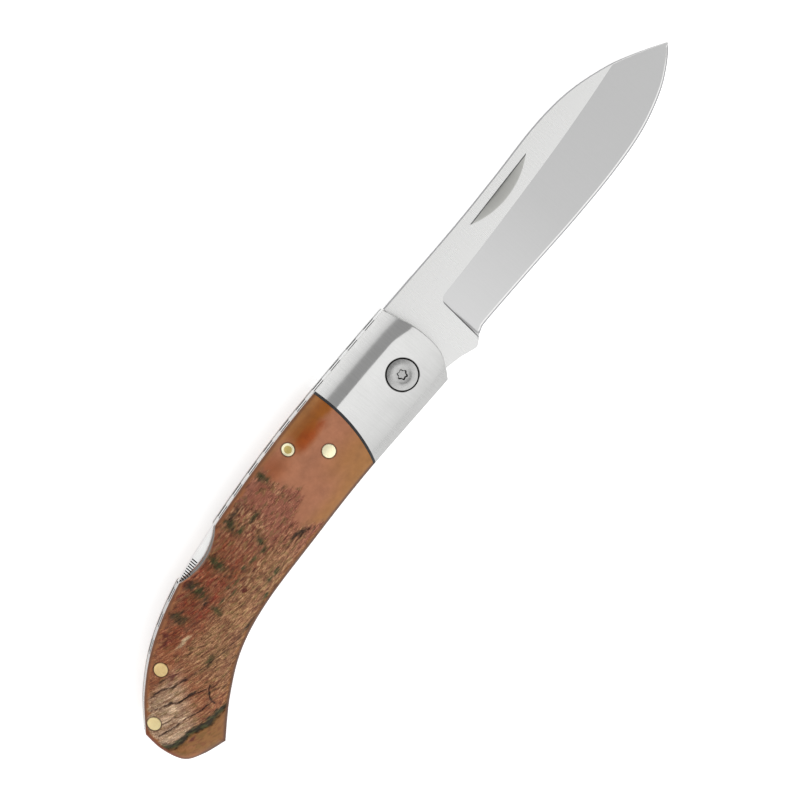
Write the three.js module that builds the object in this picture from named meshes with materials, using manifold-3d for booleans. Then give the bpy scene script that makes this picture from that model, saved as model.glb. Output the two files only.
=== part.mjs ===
// Folding hunting knife with its lock in the middle of the back, open and locked, lying on its side.
// Millimetres. X runs along the blade to the tip, Y to the knife's back and Z up through its thickness.
// The origin is on the blade's pivot axis, in the plane that the knife lies on.

import * as THREE from 'three';
import { mergeVertices } from 'three/addons/utils/BufferGeometryUtils.js';
import Module from 'manifold-3d';

const wasm = await Module();
wasm.setup();

// Thicknesses, across the knife
const bladeThickness = 3.0;
const washerThickness = 0.2;
const washerPlay = 0.03;
const linerThickness = 1.5;
const sideThickness = 3.75;
const barPlay = 0.1;

// Outline of the handle, as points [x, y] from the pivot
const backPoints = [
  [12, 12.5], [-8, 12.42], [-30, 11.8], [-52, 9.8], [-70, 7.05], [-84, 2.55], [-94, -3.4], [-101.2, -10.0],
];
const bellyPoints = [
  [12, -9.3], [-6, -9.1], [-24, -9.1], [-42, -9.95], [-60, -11.2], [-72, -13.9], [-82, -19.0], [-90.5, -25.0],
];
const buttPoints = [backPoints.at(-1), [-101.4, -15.0], [-99.9, -20.4], [-96, -23.1], bellyPoints.at(-1)];
const frontTop = 8.3;
const frontBelly = 6.1;
const frontMiddle = [[10.2, 4.5], [9.8, -3.2]];

// Rounded shoulders of bolsters and scales
const shoulderWidth = 5.95;
const shoulderDrop = 3.2;
const frontShoulderWidth = 4.5;
const frontShoulderDrop = 0.35;

// Joint between bolster and scale
const jointTop = -15.9;
const jointBelly = -19.2;
const jointBulge = 1.5;
const fibreThickness = 0.55;
const fibreGap = 0.06;

// Blade
const bladeTip = [98.3, 2.83];
const spinePoints = [
  [8, 12.25], [32, 12.25], [48, 12.75], [63, 13.5], [74, 12.75], [84, 10.05], [91, 6.9], bladeTip,
];
const edgePoints = [
  [18.2, -8.65], [20, -8.02], [22.5, -7.62], [38, -7.65], [54, -7.8], [68, -7.4], [79, -6.15], [88, -3.55],
  [94, -0.45], bladeTip,
];
const grindPoints = [[18.2, 4.0], [36, 4.8], [60, 6.5], [75, 8.0], [86, 9.4]];
const kick = [16, -9.79];
const kickFront = [12, -8.37];
const plungeStart = 18.2;
const plungeEnd = 19.6;
const edgeLand = 0.2;
const edgeShoulder = 0.7;
const edgeBevel = 0.6;
const tipBlunt = 0.4;
const bendX = 66;
const leastSpine = 0.1;
const bevelLimit = 0.4;

// Tang: its round end, as far as an angle in degrees, and the rounding of its kick
const tangRadius = 6.85;
const tangRoundEnd = 291.6;
const kickRoundFront = 0.85;
const kickRoundRear = [0.45, 0.35];
const kickCorner = [16.3, -9.89];

// Nail nick, cut in the top face only
const nickStart = [36.2, 10.1];
const nickEnd = [57.2, 11.15];
const nickHeight = 2.9;
const nickDepth = 0.8;
const nickCutterDepth = 4.0;
const nickCutterSides = 128;

// Pivot
const pivotRadius = 2.8;
const pivotPlay = 0.1;
const headRadius = 3.65;
const headThickness = 1.6;
const headSunk = 0.1;
const recessRadius = 3.95;
const threadRadius = 1.9;
const threadPlay = 0.12;
const threadLength = 8.0;
const socketRadius = 1.2;
const socketLobe = 0.16;
const socketDepth = 1.1;
const washerRadius = 5.5;

// Lock bar: its reach, its hook and how far its underside lies below the back
const closedAngle = 172;
const barNose = 8.4;
const barTail = -69.8;
const barPinX = -30.1;
const barPinDepth = 3.15;
const shoulderGap = 0.2;
const hookRear = 3.1;
const hookDepth = 6.0;
const hookRise = 1.8;
const hookSlope = 0.8;
const barWaistRear = -8;
const padHalfLength = 2.3;
const stopGap = 0.15;
const barDepths = [[-24, 6.3], [-36, 6.0], [-44, 5.5], [-57, 4.3]];
const barTailDepth = 2.7;

// Spring, a leaf from the rear spacer to the underside of the bar's tail
const springRootGap = 3.7;
const springRoot = [barTail - springRootGap, 1.2];
const springReach = 17.0;
const springThickness = 0.9;
const springWidth = 3.0;
const springTipGap = 0.2;
const springTailLength = 2.8;
const springSlotGap = 0.3;

// Rear spacer
const spacerGap = 0.3;
const spacerStep = 2.6;
const spacerDepths = [[-80, 7.1], [-88, 6.8], [-94, 6.8]];
const spacerJaw = 2.2;
const buttWall = 2.7;
const spacerEnd = -17.5;
const spacerCorner = [-97.4, -12.9];
const spacerCornerDrop = 1.8;
const spacerEndLap = 0.2;

// Pins and rivets
const barPinRadius = 1.45;
const rivetRadius = 1.6;
const rivetCentre = [-24.2, 1.35];
const rearPinRadius = 1.55;
const rearPinX = -87.4;
const rearPinDepth = 3.3;
const buttPinRadius = 1.5;
const buttPinX = -97.9;
const buttPinDepth = 2.75;
const pinGap = 0.05;
const barPinPlay = 0.08;
const rivetInset = 0.1;
const dowelRadius = 0.9;
const dowelDepth = 2.0;
const dowelX = -11.2;
const dowelBack = 6.2;
const dowelBelly = -4.6;

// Thumb scoop, a round cut through scales and liners
const scoopRadius = 15.0;
const scoopCentre = [-64.0, 20.95];

// File work on the back: short cuts along the joints of bar and liners, and fine grip cuts behind the
// thumb scoop's middle
const fileFirst = 3.7;
const filePitch = 6.06;
const fileCount = 10;
const fileLength = 3.3;
const fileHalfWidth = 0.6;
const fileDepth = 0.45;
const spacerFileFirst = -73.0;
const spacerFileCount = 3;
const gripFirst = -63.6;
const gripPitch = 0.62;
const gripCount = 10;
const gripWidth = 0.28;
const gripDepth = 0.25;
const gripHeight = 1.5;

// Faceting
const curveSteps = 60;
const frontSteps = 20;
const buttSteps = 24;
const rowSteps = 16;
const bolsterColumns = 10;
const scaleColumns = 26;
const pivotSides = 32;
const pinSides = 24;
const scoopSides = 96;
const socketSteps = 36;

// How far a cutter reaches past what it cuts
const overcut = 1.0;

// Planes across the knife, from the middle of the blade
const bladeFace = bladeThickness / 2;
const linerInner = bladeFace + washerThickness + 2 * washerPlay;
const linerOuter = linerInner + linerThickness;
const sideOuter = linerOuter + sideThickness;

const steel = { color: 0xc9c9c7, roughness: 0.3, metalness: 1.0 };
const bladeSteel = { color: 0xd6d6d4, roughness: 0.28, metalness: 1.0 };
const brass = { color: 0xc9b377, roughness: 0.3, metalness: 1.0 };
const bronze = { color: 0xa97b45, roughness: 0.35, metalness: 1.0 };
const springSteel = { color: 0x8d8f92, roughness: 0.35, metalness: 1.0 };
const horn = { color: 0x8a4a33, roughness: 0.45, metalness: 0.0 };
const fibre = { color: 0x1b1a1a, roughness: 0.7, metalness: 0.0 };

// Geometry helpers

function solidOf(geometry) {
  const bare = geometry.clone();
  bare.deleteAttribute('normal');
  bare.deleteAttribute('uv');
  const merged = mergeVertices(bare, 1e-5);
  return new wasm.Manifold(new wasm.Mesh({
    numProp: 3,
    vertProperties: new Float32Array(merged.attributes.position.array),
    triVerts: new Uint32Array(merged.index.array),
  }));
}

function geometryOf(solid) {
  const mesh = solid.getMesh();
  const geometry = new THREE.BufferGeometry();
  geometry.setAttribute('position', new THREE.BufferAttribute(new Float32Array(mesh.vertProperties), 3));
  geometry.setIndex(new THREE.BufferAttribute(new Uint32Array(mesh.triVerts), 1));
  return geometry;
}

// The same geometry on the other side of the blade
function mirrored(geometry) {
  const copy = geometry.clone().scale(1, 1, -1);
  const index = copy.index.array;
  for (let i = 0; i < index.length; i += 3) {
    [index[i], index[i + 1]] = [index[i + 1], index[i]];
  }
  return copy;
}

function plate(points, low, high) {
  const shape = new THREE.Shape(points.map(([x, y]) => new THREE.Vector2(x, y)));
  const geometry = new THREE.ExtrudeGeometry(shape, { depth: high - low, bevelEnabled: false });
  return solidOf(geometry.translate(0, 0, low));
}

function rod([x, y], radius, low, high, sides = pinSides) {
  const geometry = new THREE.CylinderGeometry(radius, radius, high - low, sides);
  return solidOf(geometry.rotateX(Math.PI / 2).translate(x, y, (low + high) / 2));
}

function block([x, y], length, height, low, high, angle = 0) {
  const geometry = new THREE.BoxGeometry(length, height, high - low);
  return solidOf(geometry.rotateZ(angle).translate(x, y, (low + high) / 2));
}

// Curves

function splineOf(points) {
  return new THREE.SplineCurve(points.map(([x, y]) => new THREE.Vector2(x, y)));
}

function polyline(curve, steps = curveSteps) {
  return curve.getSpacedPoints(steps).map((point) => [point.x, point.y]);
}

const mix = (a, b, share) => a + (b - a) * share;

// Height of a line that runs along X, at one x
function heightAt(line, x) {
  const rising = line[0][0] < line.at(-1)[0];
  const beyond = line.findIndex((point) => (rising ? point[0] >= x : point[0] <= x));
  const next = beyond === -1 ? line.length - 1 : Math.max(beyond, 1);
  const [ax, ay] = line[next - 1];
  const [bx, by] = line[next];
  return mix(ay, by, (x - ax) / (bx - ax));
}

// Point of a shallow arc from a to b, which bulges to the left of that direction
function arcPoint(a, b, bulge, share) {
  const length = Math.hypot(b[0] - a[0], b[1] - a[1]);
  const control = [
    (a[0] + b[0]) / 2 - (b[1] - a[1]) / length * 2 * bulge,
    (a[1] + b[1]) / 2 + (b[0] - a[0]) / length * 2 * bulge,
  ];
  const first = [mix(a[0], control[0], share), mix(a[1], control[1], share)];
  const second = [mix(control[0], b[0], share), mix(control[1], b[1], share)];
  return [mix(first[0], second[0], share), mix(first[1], second[1], share)];
}

function distanceTo(line, [x, y]) {
  let least = Infinity;
  for (let i = 1; i < line.length; i += 1) {
    const [ax, ay] = line[i - 1];
    const [bx, by] = line[i];
    const along = ((x - ax) * (bx - ax) + (y - ay) * (by - ay)) / ((bx - ax) ** 2 + (by - ay) ** 2);
    const share = Math.min(1, Math.max(0, along));
    least = Math.min(least, Math.hypot(x - mix(ax, bx, share), y - mix(ay, by, share)));
  }
  return least;
}

function turned([x, y], degrees) {
  const angle = THREE.MathUtils.degToRad(degrees);
  return [x * Math.cos(angle) - y * Math.sin(angle), x * Math.sin(angle) + y * Math.cos(angle)];
}

const backLine = polyline(splineOf(backPoints), 2 * curveSteps);
const bellyLine = polyline(splineOf(bellyPoints), 2 * curveSteps);
const buttLine = polyline(splineOf(buttPoints));
const backAt = (x) => heightAt(backLine, x);
const bellyAt = (x) => heightAt(bellyLine, x);
const onBack = (x) => [x, backAt(x)];
const onBelly = (x) => [x, bellyAt(x)];
const below = (x, depth) => [x, backAt(x) - depth];

const frontCurve = splineOf([onBack(frontTop), ...frontMiddle, onBelly(frontBelly)]);
const frontAt = (share) => frontCurve.getPointAt(share).toArray();
const frontLine = polyline(frontCurve, frontSteps);
const jointAt = (shift) => (share) => (
  arcPoint(onBack(jointTop - shift), onBelly(jointBelly - shift), jointBulge, share)
);

// Stretch of the back or the belly from one x to another, as points
function stretch(onLine, from, to, steps) {
  return Array.from({ length: steps + 1 }, (_, i) => onLine(mix(from, to, i / steps)));
}

// Rounded outer face of bolsters and scales

function rollOff(distance, width, drop) {
  const run = Math.max(0, width - distance);
  const radius = (width * width + drop * drop) / (2 * drop);
  return radius - Math.sqrt(radius * radius - run * run);
}

function faceHeight(point) {
  const rim = Math.min(distanceTo(backLine, point), distanceTo(bellyLine, point), distanceTo(buttLine, point));
  const front = distanceTo(frontLine, point);
  return sideOuter - rollOff(rim, shoulderWidth, shoulderDrop)
    - rollOff(front, frontShoulderWidth, frontShoulderDrop);
}

// Solid between four edge curves, flat below and following the rounded face above
function pillow({ back, belly, front, rear, columns, rows, floor }) {
  const points = [];
  for (const s of columns) {
    for (const t of rows) {
      const edges = [
        [back(s), 1 - t], [belly(s), t], [front(t), 1 - s], [rear(t), s],
        [back(0), -(1 - s) * (1 - t)], [belly(0), -(1 - s) * t], [back(1), -s * (1 - t)], [belly(1), -s * t],
      ];
      points.push([0, 1].map((axis) => edges.reduce((sum, [edge, weight]) => sum + edge[axis] * weight, 0)));
    }
  }
  const across = rows.length;
  const last = columns.length - 1;
  const rim = [
    ...rows.map((_, j) => j),
    ...columns.slice(1).map((_, i) => (i + 1) * across + across - 1),
    ...rows.slice(1).map((_, j) => last * across + across - 2 - j),
    ...columns.slice(1, -1).map((_, i) => (last - 1 - i) * across),
  ];
  const triangles = [];
  for (let i = 0; i < last; i += 1) {
    for (let j = 0; j < across - 1; j += 1) {
      const corner = i * across + j;
      triangles.push([corner, corner + across + 1, corner + 1], [corner, corner + across, corner + across + 1]);
    }
  }
  const count = points.length;
  rim.forEach((from, i) => {
    const to = rim[(i + 1) % rim.length];
    triangles.push([from, to, count + i], [to, count + (i + 1) % rim.length, count + i]);
  });
  const floorPoints = rim.map((i) => new THREE.Vector2(...points[i]));
  for (const [a, b, c] of THREE.ShapeUtils.triangulateShape(floorPoints, [])) {
    triangles.push([count + a, count + c, count + b]);
  }
  const positions = points.flatMap((point) => [...point, faceHeight(point)]);
  floorPoints.forEach((point) => positions.push(point.x, point.y, floor));
  const geometry = new THREE.BufferGeometry();
  geometry.setAttribute('position', new THREE.BufferAttribute(new Float32Array(positions), 3));
  geometry.setIndex(triangles.flat());
  return solidOf(geometry);
}

// Shares from 0 to 1 that crowd towards the rounded edges
const bothEnds = (steps) => Array.from({ length: steps + 1 }, (_, i) => (1 - Math.cos(Math.PI * i / steps)) / 2);
const nearStart = (steps) => Array.from({ length: steps + 1 }, (_, i) => 1 - Math.cos(Math.PI / 2 * i / steps));
const nearEnd = (steps) => Array.from({ length: steps + 1 }, (_, i) => Math.sin(Math.PI / 2 * i / steps));

function bolsterBlank() {
  return pillow({
    back: (s) => onBack(mix(frontTop, jointTop, s)),
    belly: (s) => onBelly(mix(frontBelly, jointBelly, s)),
    front: frontAt,
    rear: jointAt(0),
    columns: nearStart(bolsterColumns),
    rows: bothEnds(rowSteps),
    floor: linerOuter,
  });
}

function fibreBlank() {
  const near = fibreGap;
  const far = fibreGap + fibreThickness;
  return pillow({
    back: (s) => onBack(jointTop - mix(near, far, s)),
    belly: (s) => onBelly(jointBelly - mix(near, far, s)),
    front: jointAt(near),
    rear: jointAt(far),
    columns: [0, 1],
    rows: bothEnds(rowSteps),
    floor: linerOuter,
  });
}

function scaleBlank(floor) {
  const inset = fibreThickness + 2 * fibreGap;
  const butt = splineOf(buttPoints);
  return pillow({
    back: (s) => onBack(mix(jointTop - inset, backPoints.at(-1)[0], s)),
    belly: (s) => onBelly(mix(jointBelly - inset, bellyPoints.at(-1)[0], s)),
    front: jointAt(inset),
    rear: (t) => butt.getPointAt(t).toArray(),
    columns: nearEnd(scaleColumns),
    rows: bothEnds(rowSteps),
    floor,
  });
}

// Handle pieces. Each top piece has its mirror image under the blade

const pivot = [0, 0];
const barPin = below(barPinX, barPinDepth);
const rearPin = below(rearPinX, rearPinDepth);
const buttPin = below(buttPinX, buttPinDepth);
const dowels = { back: [dowelX, dowelBack], belly: [dowelX, dowelBelly] };

function scoopCut() {
  return rod(scoopCentre, scoopRadius, linerInner - overcut, sideOuter + overcut, scoopSides);
}

// Holes for the pins that pass through both scales
function pinHoles() {
  return [[barPin, barPinRadius], [rearPin, rearPinRadius], [buttPin, buttPinRadius], [rivetCentre, rivetRadius]]
    .map(([centre, radius]) => rod(centre, radius + pinGap, linerInner - overcut, sideOuter + overcut));
}

function linerTop() {
  const outline = [
    ...stretch(onBack, frontTop, backPoints.at(-1)[0], curveSteps),
    ...polyline(splineOf(buttPoints), rowSteps).slice(1, -1),
    ...stretch(onBelly, bellyPoints.at(-1)[0], frontBelly, curveSteps / 2),
    ...polyline(frontCurve, frontSteps / 2).reverse().slice(1, -1),
  ];
  let liner = plate(outline, linerInner, linerOuter).subtract(scoopCut());
  liner = liner.subtract(rod(pivot, pivotRadius + pivotPlay, 0, sideOuter, pivotSides));
  for (const centre of Object.values(dowels)) {
    liner = liner.subtract(rod(centre, dowelRadius + pinGap, 0, sideOuter));
  }
  const fileWork = [...cornerCuts(fileFirst, fileCount), ...cornerCuts(spacerFileFirst, spacerFileCount)];
  return [...pinHoles(), ...fileWork].reduce((rest, cutter) => rest.subtract(cutter), liner);
}

function bolsterTop() {
  let bolster = bolsterBlank();
  bolster = bolster.subtract(rod(pivot, pivotRadius + pivotPlay, 0, sideOuter + overcut, pivotSides));
  const recessFloor = sideOuter - headSunk - headThickness;
  bolster = bolster.subtract(rod(pivot, recessRadius, recessFloor, sideOuter + overcut, pivotSides));
  for (const centre of Object.values(dowels)) {
    bolster = bolster.subtract(rod(centre, dowelRadius + pinGap, 0, linerOuter + dowelDepth + pinGap));
  }
  return bolster;
}

function scaleTop() {
  return pinHoles().reduce((rest, hole) => rest.subtract(hole), scaleBlank(linerOuter).subtract(scoopCut()));
}

function dowel(centre) {
  return rod(centre, dowelRadius, linerInner + rivetInset, linerOuter + dowelDepth);
}

// A pin's upper half, ground flush with the scale's rounded face
function flushPin(centre, radius, low) {
  return rod(centre, radius, low, sideOuter + overcut).intersect(scaleBlank(low - overcut));
}

function throughPin(centre, radius) {
  const upper = flushPin(centre, radius, -bladeFace);
  return upper.add(solidOf(mirrored(geometryOf(upper))));
}

// Six-lobe screw and the threaded barrel that it closes

function pivotScrew() {
  const top = sideOuter - headSunk;
  const under = top - headThickness;
  const socket = Array.from({ length: socketSteps }, (_, i) => {
    const angle = 2 * Math.PI * i / socketSteps;
    const radius = socketRadius + socketLobe * Math.cos(6 * angle);
    return [radius * Math.cos(angle), radius * Math.sin(angle)];
  });
  return rod(pivot, headRadius, under, top, pivotSides)
    .add(rod(pivot, threadRadius, under - threadLength, under + 0.5 * headThickness, pivotSides))
    .subtract(plate(socket, top - socketDepth, top + overcut));
}

function pivotBarrel() {
  const headTop = -sideOuter + headThickness;
  const mouth = sideOuter - headSunk - headThickness - pivotPlay;
  return rod(pivot, headRadius, -sideOuter, headTop, pivotSides)
    .add(rod(pivot, pivotRadius, -sideOuter + headThickness / 2, mouth, pivotSides))
    .subtract(rod(pivot, threadRadius + threadPlay, mouth - threadLength - overcut, mouth + overcut, pivotSides));
}

function washerTop() {
  const low = bladeFace + washerPlay;
  return rod(pivot, washerRadius, low, low + washerThickness, pivotSides)
    .subtract(rod(pivot, pivotRadius + pivotPlay, 0, sideOuter, pivotSides));
}

// Blade

const spineLine = polyline(splineOf(spinePoints), 2 * curveSteps);
const edgeLine = polyline(splineOf(edgePoints), 2 * curveSteps);
const grindLine = polyline(splineOf(grindPoints));
const grindEnd = grindPoints.at(-1)[0];

// Half the blade's thickness at the spine: beyond the grind's end the spine runs down the ground face
function spineHalf(x) {
  const height = heightAt(spineLine, x) - heightAt(edgeLine, x);
  const fullHeight = heightAt(spineLine, grindEnd) - heightAt(edgeLine, grindEnd);
  return Math.min(bladeFace, mix(edgeShoulder / 2, bladeFace, height / fullHeight));
}

function bladeSection(x) {
  const spine = heightAt(spineLine, x);
  const edge = heightAt(edgeLine, x);
  const half = spineHalf(x);
  const grind = Math.min(heightAt(grindLine, Math.min(x, grindEnd)), spine - leastSpine);
  const shoulder = Math.min(edge + edgeBevel, mix(edge, spine, bevelLimit));
  const ground = x >= plungeEnd;
  return [
    [spine, half], [grind, half], [shoulder, ground ? edgeShoulder / 2 : half], [edge, ground ? edgeLand / 2 : half],
  ];
}

// Closed skin over sections [y, z] of the top half, with their mirror image below
function loft(stations, sectionAt) {
  const rings = stations.map((x) => {
    const upper = sectionAt(x);
    const lower = upper.map(([y, z]) => [y, -z]).reverse();
    return [...upper, ...lower].map(([y, z]) => [x, y, z]);
  });
  const size = rings[0].length;
  const triangles = [];
  for (let i = 1; i < rings.length; i += 1) {
    for (let j = 0; j < size; j += 1) {
      const [a, b] = [(i - 1) * size + j, (i - 1) * size + (j + 1) % size];
      triangles.push([a, b, b + size], [a, b + size, a + size]);
    }
  }
  const lastRing = (rings.length - 1) * size;
  for (let j = 1; j < size / 2; j += 1) {
    const [a, b, c, d] = [j - 1, j, size - 1 - j, size - j];
    triangles.push([a, d, b], [b, d, c]);
    triangles.push([lastRing + a, lastRing + b, lastRing + d], [lastRing + b, lastRing + c, lastRing + d]);
  }
  const geometry = new THREE.BufferGeometry();
  geometry.setAttribute('position', new THREE.BufferAttribute(new Float32Array(rings.flat(2)), 3));
  geometry.setIndex(triangles.flat());
  return solidOf(geometry);
}

function bladeStations() {
  const tipX = bladeTip[0] - tipBlunt;
  const bodySteps = 15;
  const tipSteps = 12;
  const body = Array.from({ length: bodySteps }, (_, i) => mix(plungeEnd, bendX, i / bodySteps));
  const point = Array.from({ length: tipSteps + 1 }, (_, i) => mix(bendX, tipX, i / tipSteps));
  return [plungeStart - overcut, plungeStart, ...body, ...point];
}

const hookFloor = backAt(hookRear) - hookDepth - shoulderGap;

function tang() {
  const shoulderX = barNose + shoulderGap;
  const floorAngle = Math.asin(hookFloor / tangRadius);
  const lobe = new THREE.EllipseCurve(0, 0, tangRadius, tangRadius, floorAngle, THREE.MathUtils.degToRad(tangRoundEnd));
  const kickRound = new THREE.QuadraticBezierCurve(
    new THREE.Vector2(...[0, 1].map((axis) => mix(kickFront[axis], kick[axis], kickRoundFront))),
    new THREE.Vector2(...kickCorner),
    new THREE.Vector2(...[0, 1].map((axis) => mix(kick[axis], edgePoints[0][axis], kickRoundRear[axis]))),
  );
  return plate([
    [plungeStart, heightAt(spineLine, plungeStart)],
    [shoulderX, heightAt(spineLine, shoulderX)],
    [shoulderX, hookFloor],
    ...polyline(lobe, 28),
    kickFront,
    ...polyline(kickRound, 5),
    edgePoints[0],
  ], -bladeFace, bladeFace);
}

// Nail nick: a shallow cone seen through a straight edge, deepest at that edge
function nailNick() {
  const chord = Math.hypot(nickEnd[0] - nickStart[0], nickEnd[1] - nickStart[1]);
  const radius = chord ** 2 / (8 * nickHeight) + nickHeight / 2;
  const slope = nickDepth / nickHeight;
  const angle = Math.atan2(nickEnd[1] - nickStart[1], nickEnd[0] - nickStart[0]);
  const centre = [
    (nickStart[0] + nickEnd[0]) / 2 - (radius - nickHeight) * Math.sin(angle),
    (nickStart[1] + nickEnd[1]) / 2 + (radius - nickHeight) * Math.cos(angle),
  ];
  const cone = new THREE.CylinderGeometry(
    radius + overcut / slope, radius - nickCutterDepth / slope, nickCutterDepth + overcut, nickCutterSides,
  );
  const middle = bladeFace + (overcut - nickCutterDepth) / 2;
  const cutter = solidOf(cone.rotateX(Math.PI / 2).translate(...centre, middle));
  const belowChord = block(
    [centre[0] + (2 * radius - nickHeight) * Math.sin(angle), centre[1] - (2 * radius - nickHeight) * Math.cos(angle)],
    3 * radius, 2 * radius, 0, sideOuter, angle,
  );
  return cutter.intersect(belowChord);
}

function blade() {
  return tang().add(loft(bladeStations(), bladeSection))
    .subtract(rod(pivot, pivotRadius + pivotPlay, -sideOuter, sideOuter, pivotSides))
    .subtract(nailNick());
}

// Lock bar

const closedKick = turned(kick, -closedAngle);
const barTop = linerInner - barPlay;

const barUnderside = [
  [barNose, backAt(hookRear) - hookDepth],
  [hookRear, backAt(hookRear) - hookDepth],
  [hookRear - hookSlope, backAt(hookRear) - hookDepth + hookRise],
  [barWaistRear, backAt(hookRear) - hookDepth + hookRise],
  [closedKick[0] + padHalfLength * 2, closedKick[1] + stopGap],
  [closedKick[0] - padHalfLength, closedKick[1] + stopGap],
  ...barDepths.map(([x, depth]) => below(x, depth)),
  below(barTail, barTailDepth),
];

function cornerCuts(first, count) {
  return Array.from({ length: count }, (_, i) => {
    const x = first - i * filePitch;
    const slope = (backAt(x + 1) - backAt(x - 1)) / 2;
    return [barTop, -barTop].map((side) => (
      block(onBack(x), fileLength, 2 * fileDepth, side - fileHalfWidth, side + fileHalfWidth, Math.atan(slope))
    ));
  }).flat();
}

function gripCuts() {
  return Array.from({ length: gripCount }, (_, i) => {
    const x = gripFirst - i * gripPitch;
    return [barTop, -barTop].map((side) => (
      block(onBack(x), gripWidth, 2 * gripHeight, side - gripDepth, side + gripDepth)
    ));
  }).flat();
}

function lockBar() {
  const outline = [...stretch(onBack, barTail, barNose, curveSteps), ...barUnderside];
  let bar = plate(outline, -barTop, barTop);
  bar = bar.subtract(rod(barPin, barPinRadius + barPinPlay, -sideOuter, sideOuter));
  return [...cornerCuts(fileFirst, fileCount), ...gripCuts()].reduce((rest, cut) => rest.subtract(cut), bar);
}

// Leaf spring and rear spacer

const springTipX = springRoot[0] + springReach;
const springTipY = backAt(springTipX) - barDepths.at(-1)[1] - springTipGap - springThickness / 2;
const springAngle = Math.atan2(springTipY - springRoot[1], springReach);

function leaf(thickness, width, inner, outer) {
  const middle = (outer - inner) / 2;
  const centre = [
    springRoot[0] + middle * Math.cos(springAngle),
    springRoot[1] + middle * Math.sin(springAngle),
  ];
  return block(centre, inner + outer, thickness, -width / 2, width / 2, springAngle);
}

function lockSpring() {
  return leaf(springThickness, springWidth, springTailLength, springReach / Math.cos(springAngle));
}

function rearSpacer() {
  const frontX = barTail - spacerGap;
  const outerButt = polyline(splineOf(buttPoints), buttSteps).filter((point) => point[1] > spacerEnd);
  const endX = outerButt.at(-1)[0] + buttWall;
  const outline = [
    ...stretch(onBack, frontX, backPoints.at(-1)[0], curveSteps / 2),
    ...outerButt.slice(1),
    [outerButt.at(-1)[0] + spacerEndLap, spacerEnd],
    [endX, spacerEnd],
    [endX, spacerCorner[1] - spacerCornerDrop],
    spacerCorner,
    ...spacerDepths.map(([x, depth]) => below(x, depth)).reverse(),
    [springRoot[0], springRoot[1] - spacerJaw],
    [springRoot[0], spacerStep],
    [frontX, spacerStep],
  ];
  const slot = leaf(
    springThickness + 2 * springSlotGap, 2 * linerInner + overcut, springTailLength + springSlotGap, overcut,
  );
  let spacer = plate(outline, -linerInner, linerInner).subtract(slot);
  spacer = spacer.subtract(rod(rearPin, rearPinRadius + pinGap, -sideOuter, sideOuter));
  spacer = spacer.subtract(rod(buttPin, buttPinRadius + pinGap, -sideOuter, sideOuter));
  return cornerCuts(spacerFileFirst, spacerFileCount).reduce((rest, cut) => rest.subtract(cut), spacer);
}

// Assembly

const knife = new THREE.Group();
knife.position.z = sideOuter;

function addMesh(name, geometry, finish) {
  const flat = geometry.toNonIndexed();
  flat.computeVertexNormals();
  const mesh = new THREE.Mesh(flat, new THREE.MeshStandardMaterial(finish));
  mesh.name = name;
  knife.add(mesh);
}

function addPiece(name, solid, finish) {
  addMesh(name, geometryOf(solid), finish);
}

function addPair(name, solid, finish, suffix = '') {
  const geometry = geometryOf(solid);
  addMesh(`${name}_top${suffix}`, geometry, finish);
  addMesh(`${name}_bottom${suffix}`, mirrored(geometry), finish);
}

addPiece('blade', blade(), bladeSteel);
addPiece('pivot_screw', pivotScrew(), steel);
addPiece('pivot_barrel', pivotBarrel(), steel);
addPair('pivot_washer', washerTop(), bronze);
addPair('liner', linerTop(), steel);
addPair('bolster', bolsterTop(), steel);
for (const [side, centre] of Object.entries(dowels)) {
  addPair('bolster_dowel', dowel(centre), steel, `_${side}`);
}
addPair('fibre_strip', fibreBlank(), fibre);
addPair('scale', scaleTop(), horn);
addPair('scale_rivet', flushPin(rivetCentre, rivetRadius, linerInner + rivetInset), brass);
addPiece('lock_bar', lockBar(), steel);
addPiece('lock_bar_pin', throughPin(barPin, barPinRadius), brass);
addPiece('lock_spring', lockSpring(), springSteel);
addPiece('rear_spacer', rearSpacer(), steel);
addPiece('rear_pin_front', throughPin(rearPin, rearPinRadius), brass);
addPiece('rear_pin_butt', throughPin(buttPin, buttPinRadius), brass);

const group = new THREE.Group();
group.add(knife);

export default group;
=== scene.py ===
import math

import bmesh
import bpy
import numpy as np
from mathutils import Matrix, Vector, noise


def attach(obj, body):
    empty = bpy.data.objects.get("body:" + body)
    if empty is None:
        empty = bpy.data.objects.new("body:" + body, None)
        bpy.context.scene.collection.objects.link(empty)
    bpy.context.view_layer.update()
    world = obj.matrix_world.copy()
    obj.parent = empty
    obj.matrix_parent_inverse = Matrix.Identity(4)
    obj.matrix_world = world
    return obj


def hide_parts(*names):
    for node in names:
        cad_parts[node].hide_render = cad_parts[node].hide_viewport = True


# Looks of a folding hunting knife that lies open on its side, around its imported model.
# Shapes are worked out in millimetres from the middle of the blade, X to the tip and Y to the knife's back.

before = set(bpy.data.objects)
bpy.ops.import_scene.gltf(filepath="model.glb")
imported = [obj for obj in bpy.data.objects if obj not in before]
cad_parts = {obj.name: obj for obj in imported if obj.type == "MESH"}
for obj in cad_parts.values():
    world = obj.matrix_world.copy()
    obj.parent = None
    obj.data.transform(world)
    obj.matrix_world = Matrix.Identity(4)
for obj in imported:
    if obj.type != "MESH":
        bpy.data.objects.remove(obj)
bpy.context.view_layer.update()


# Blade
# One piece of stainless steel, ground flat on both sides down to a narrow bevel at the edge. A leaning
# plunge ends the ground side before the tang, and a nail nick is milled in one face. The satin finish
# runs across the blade.

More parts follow.
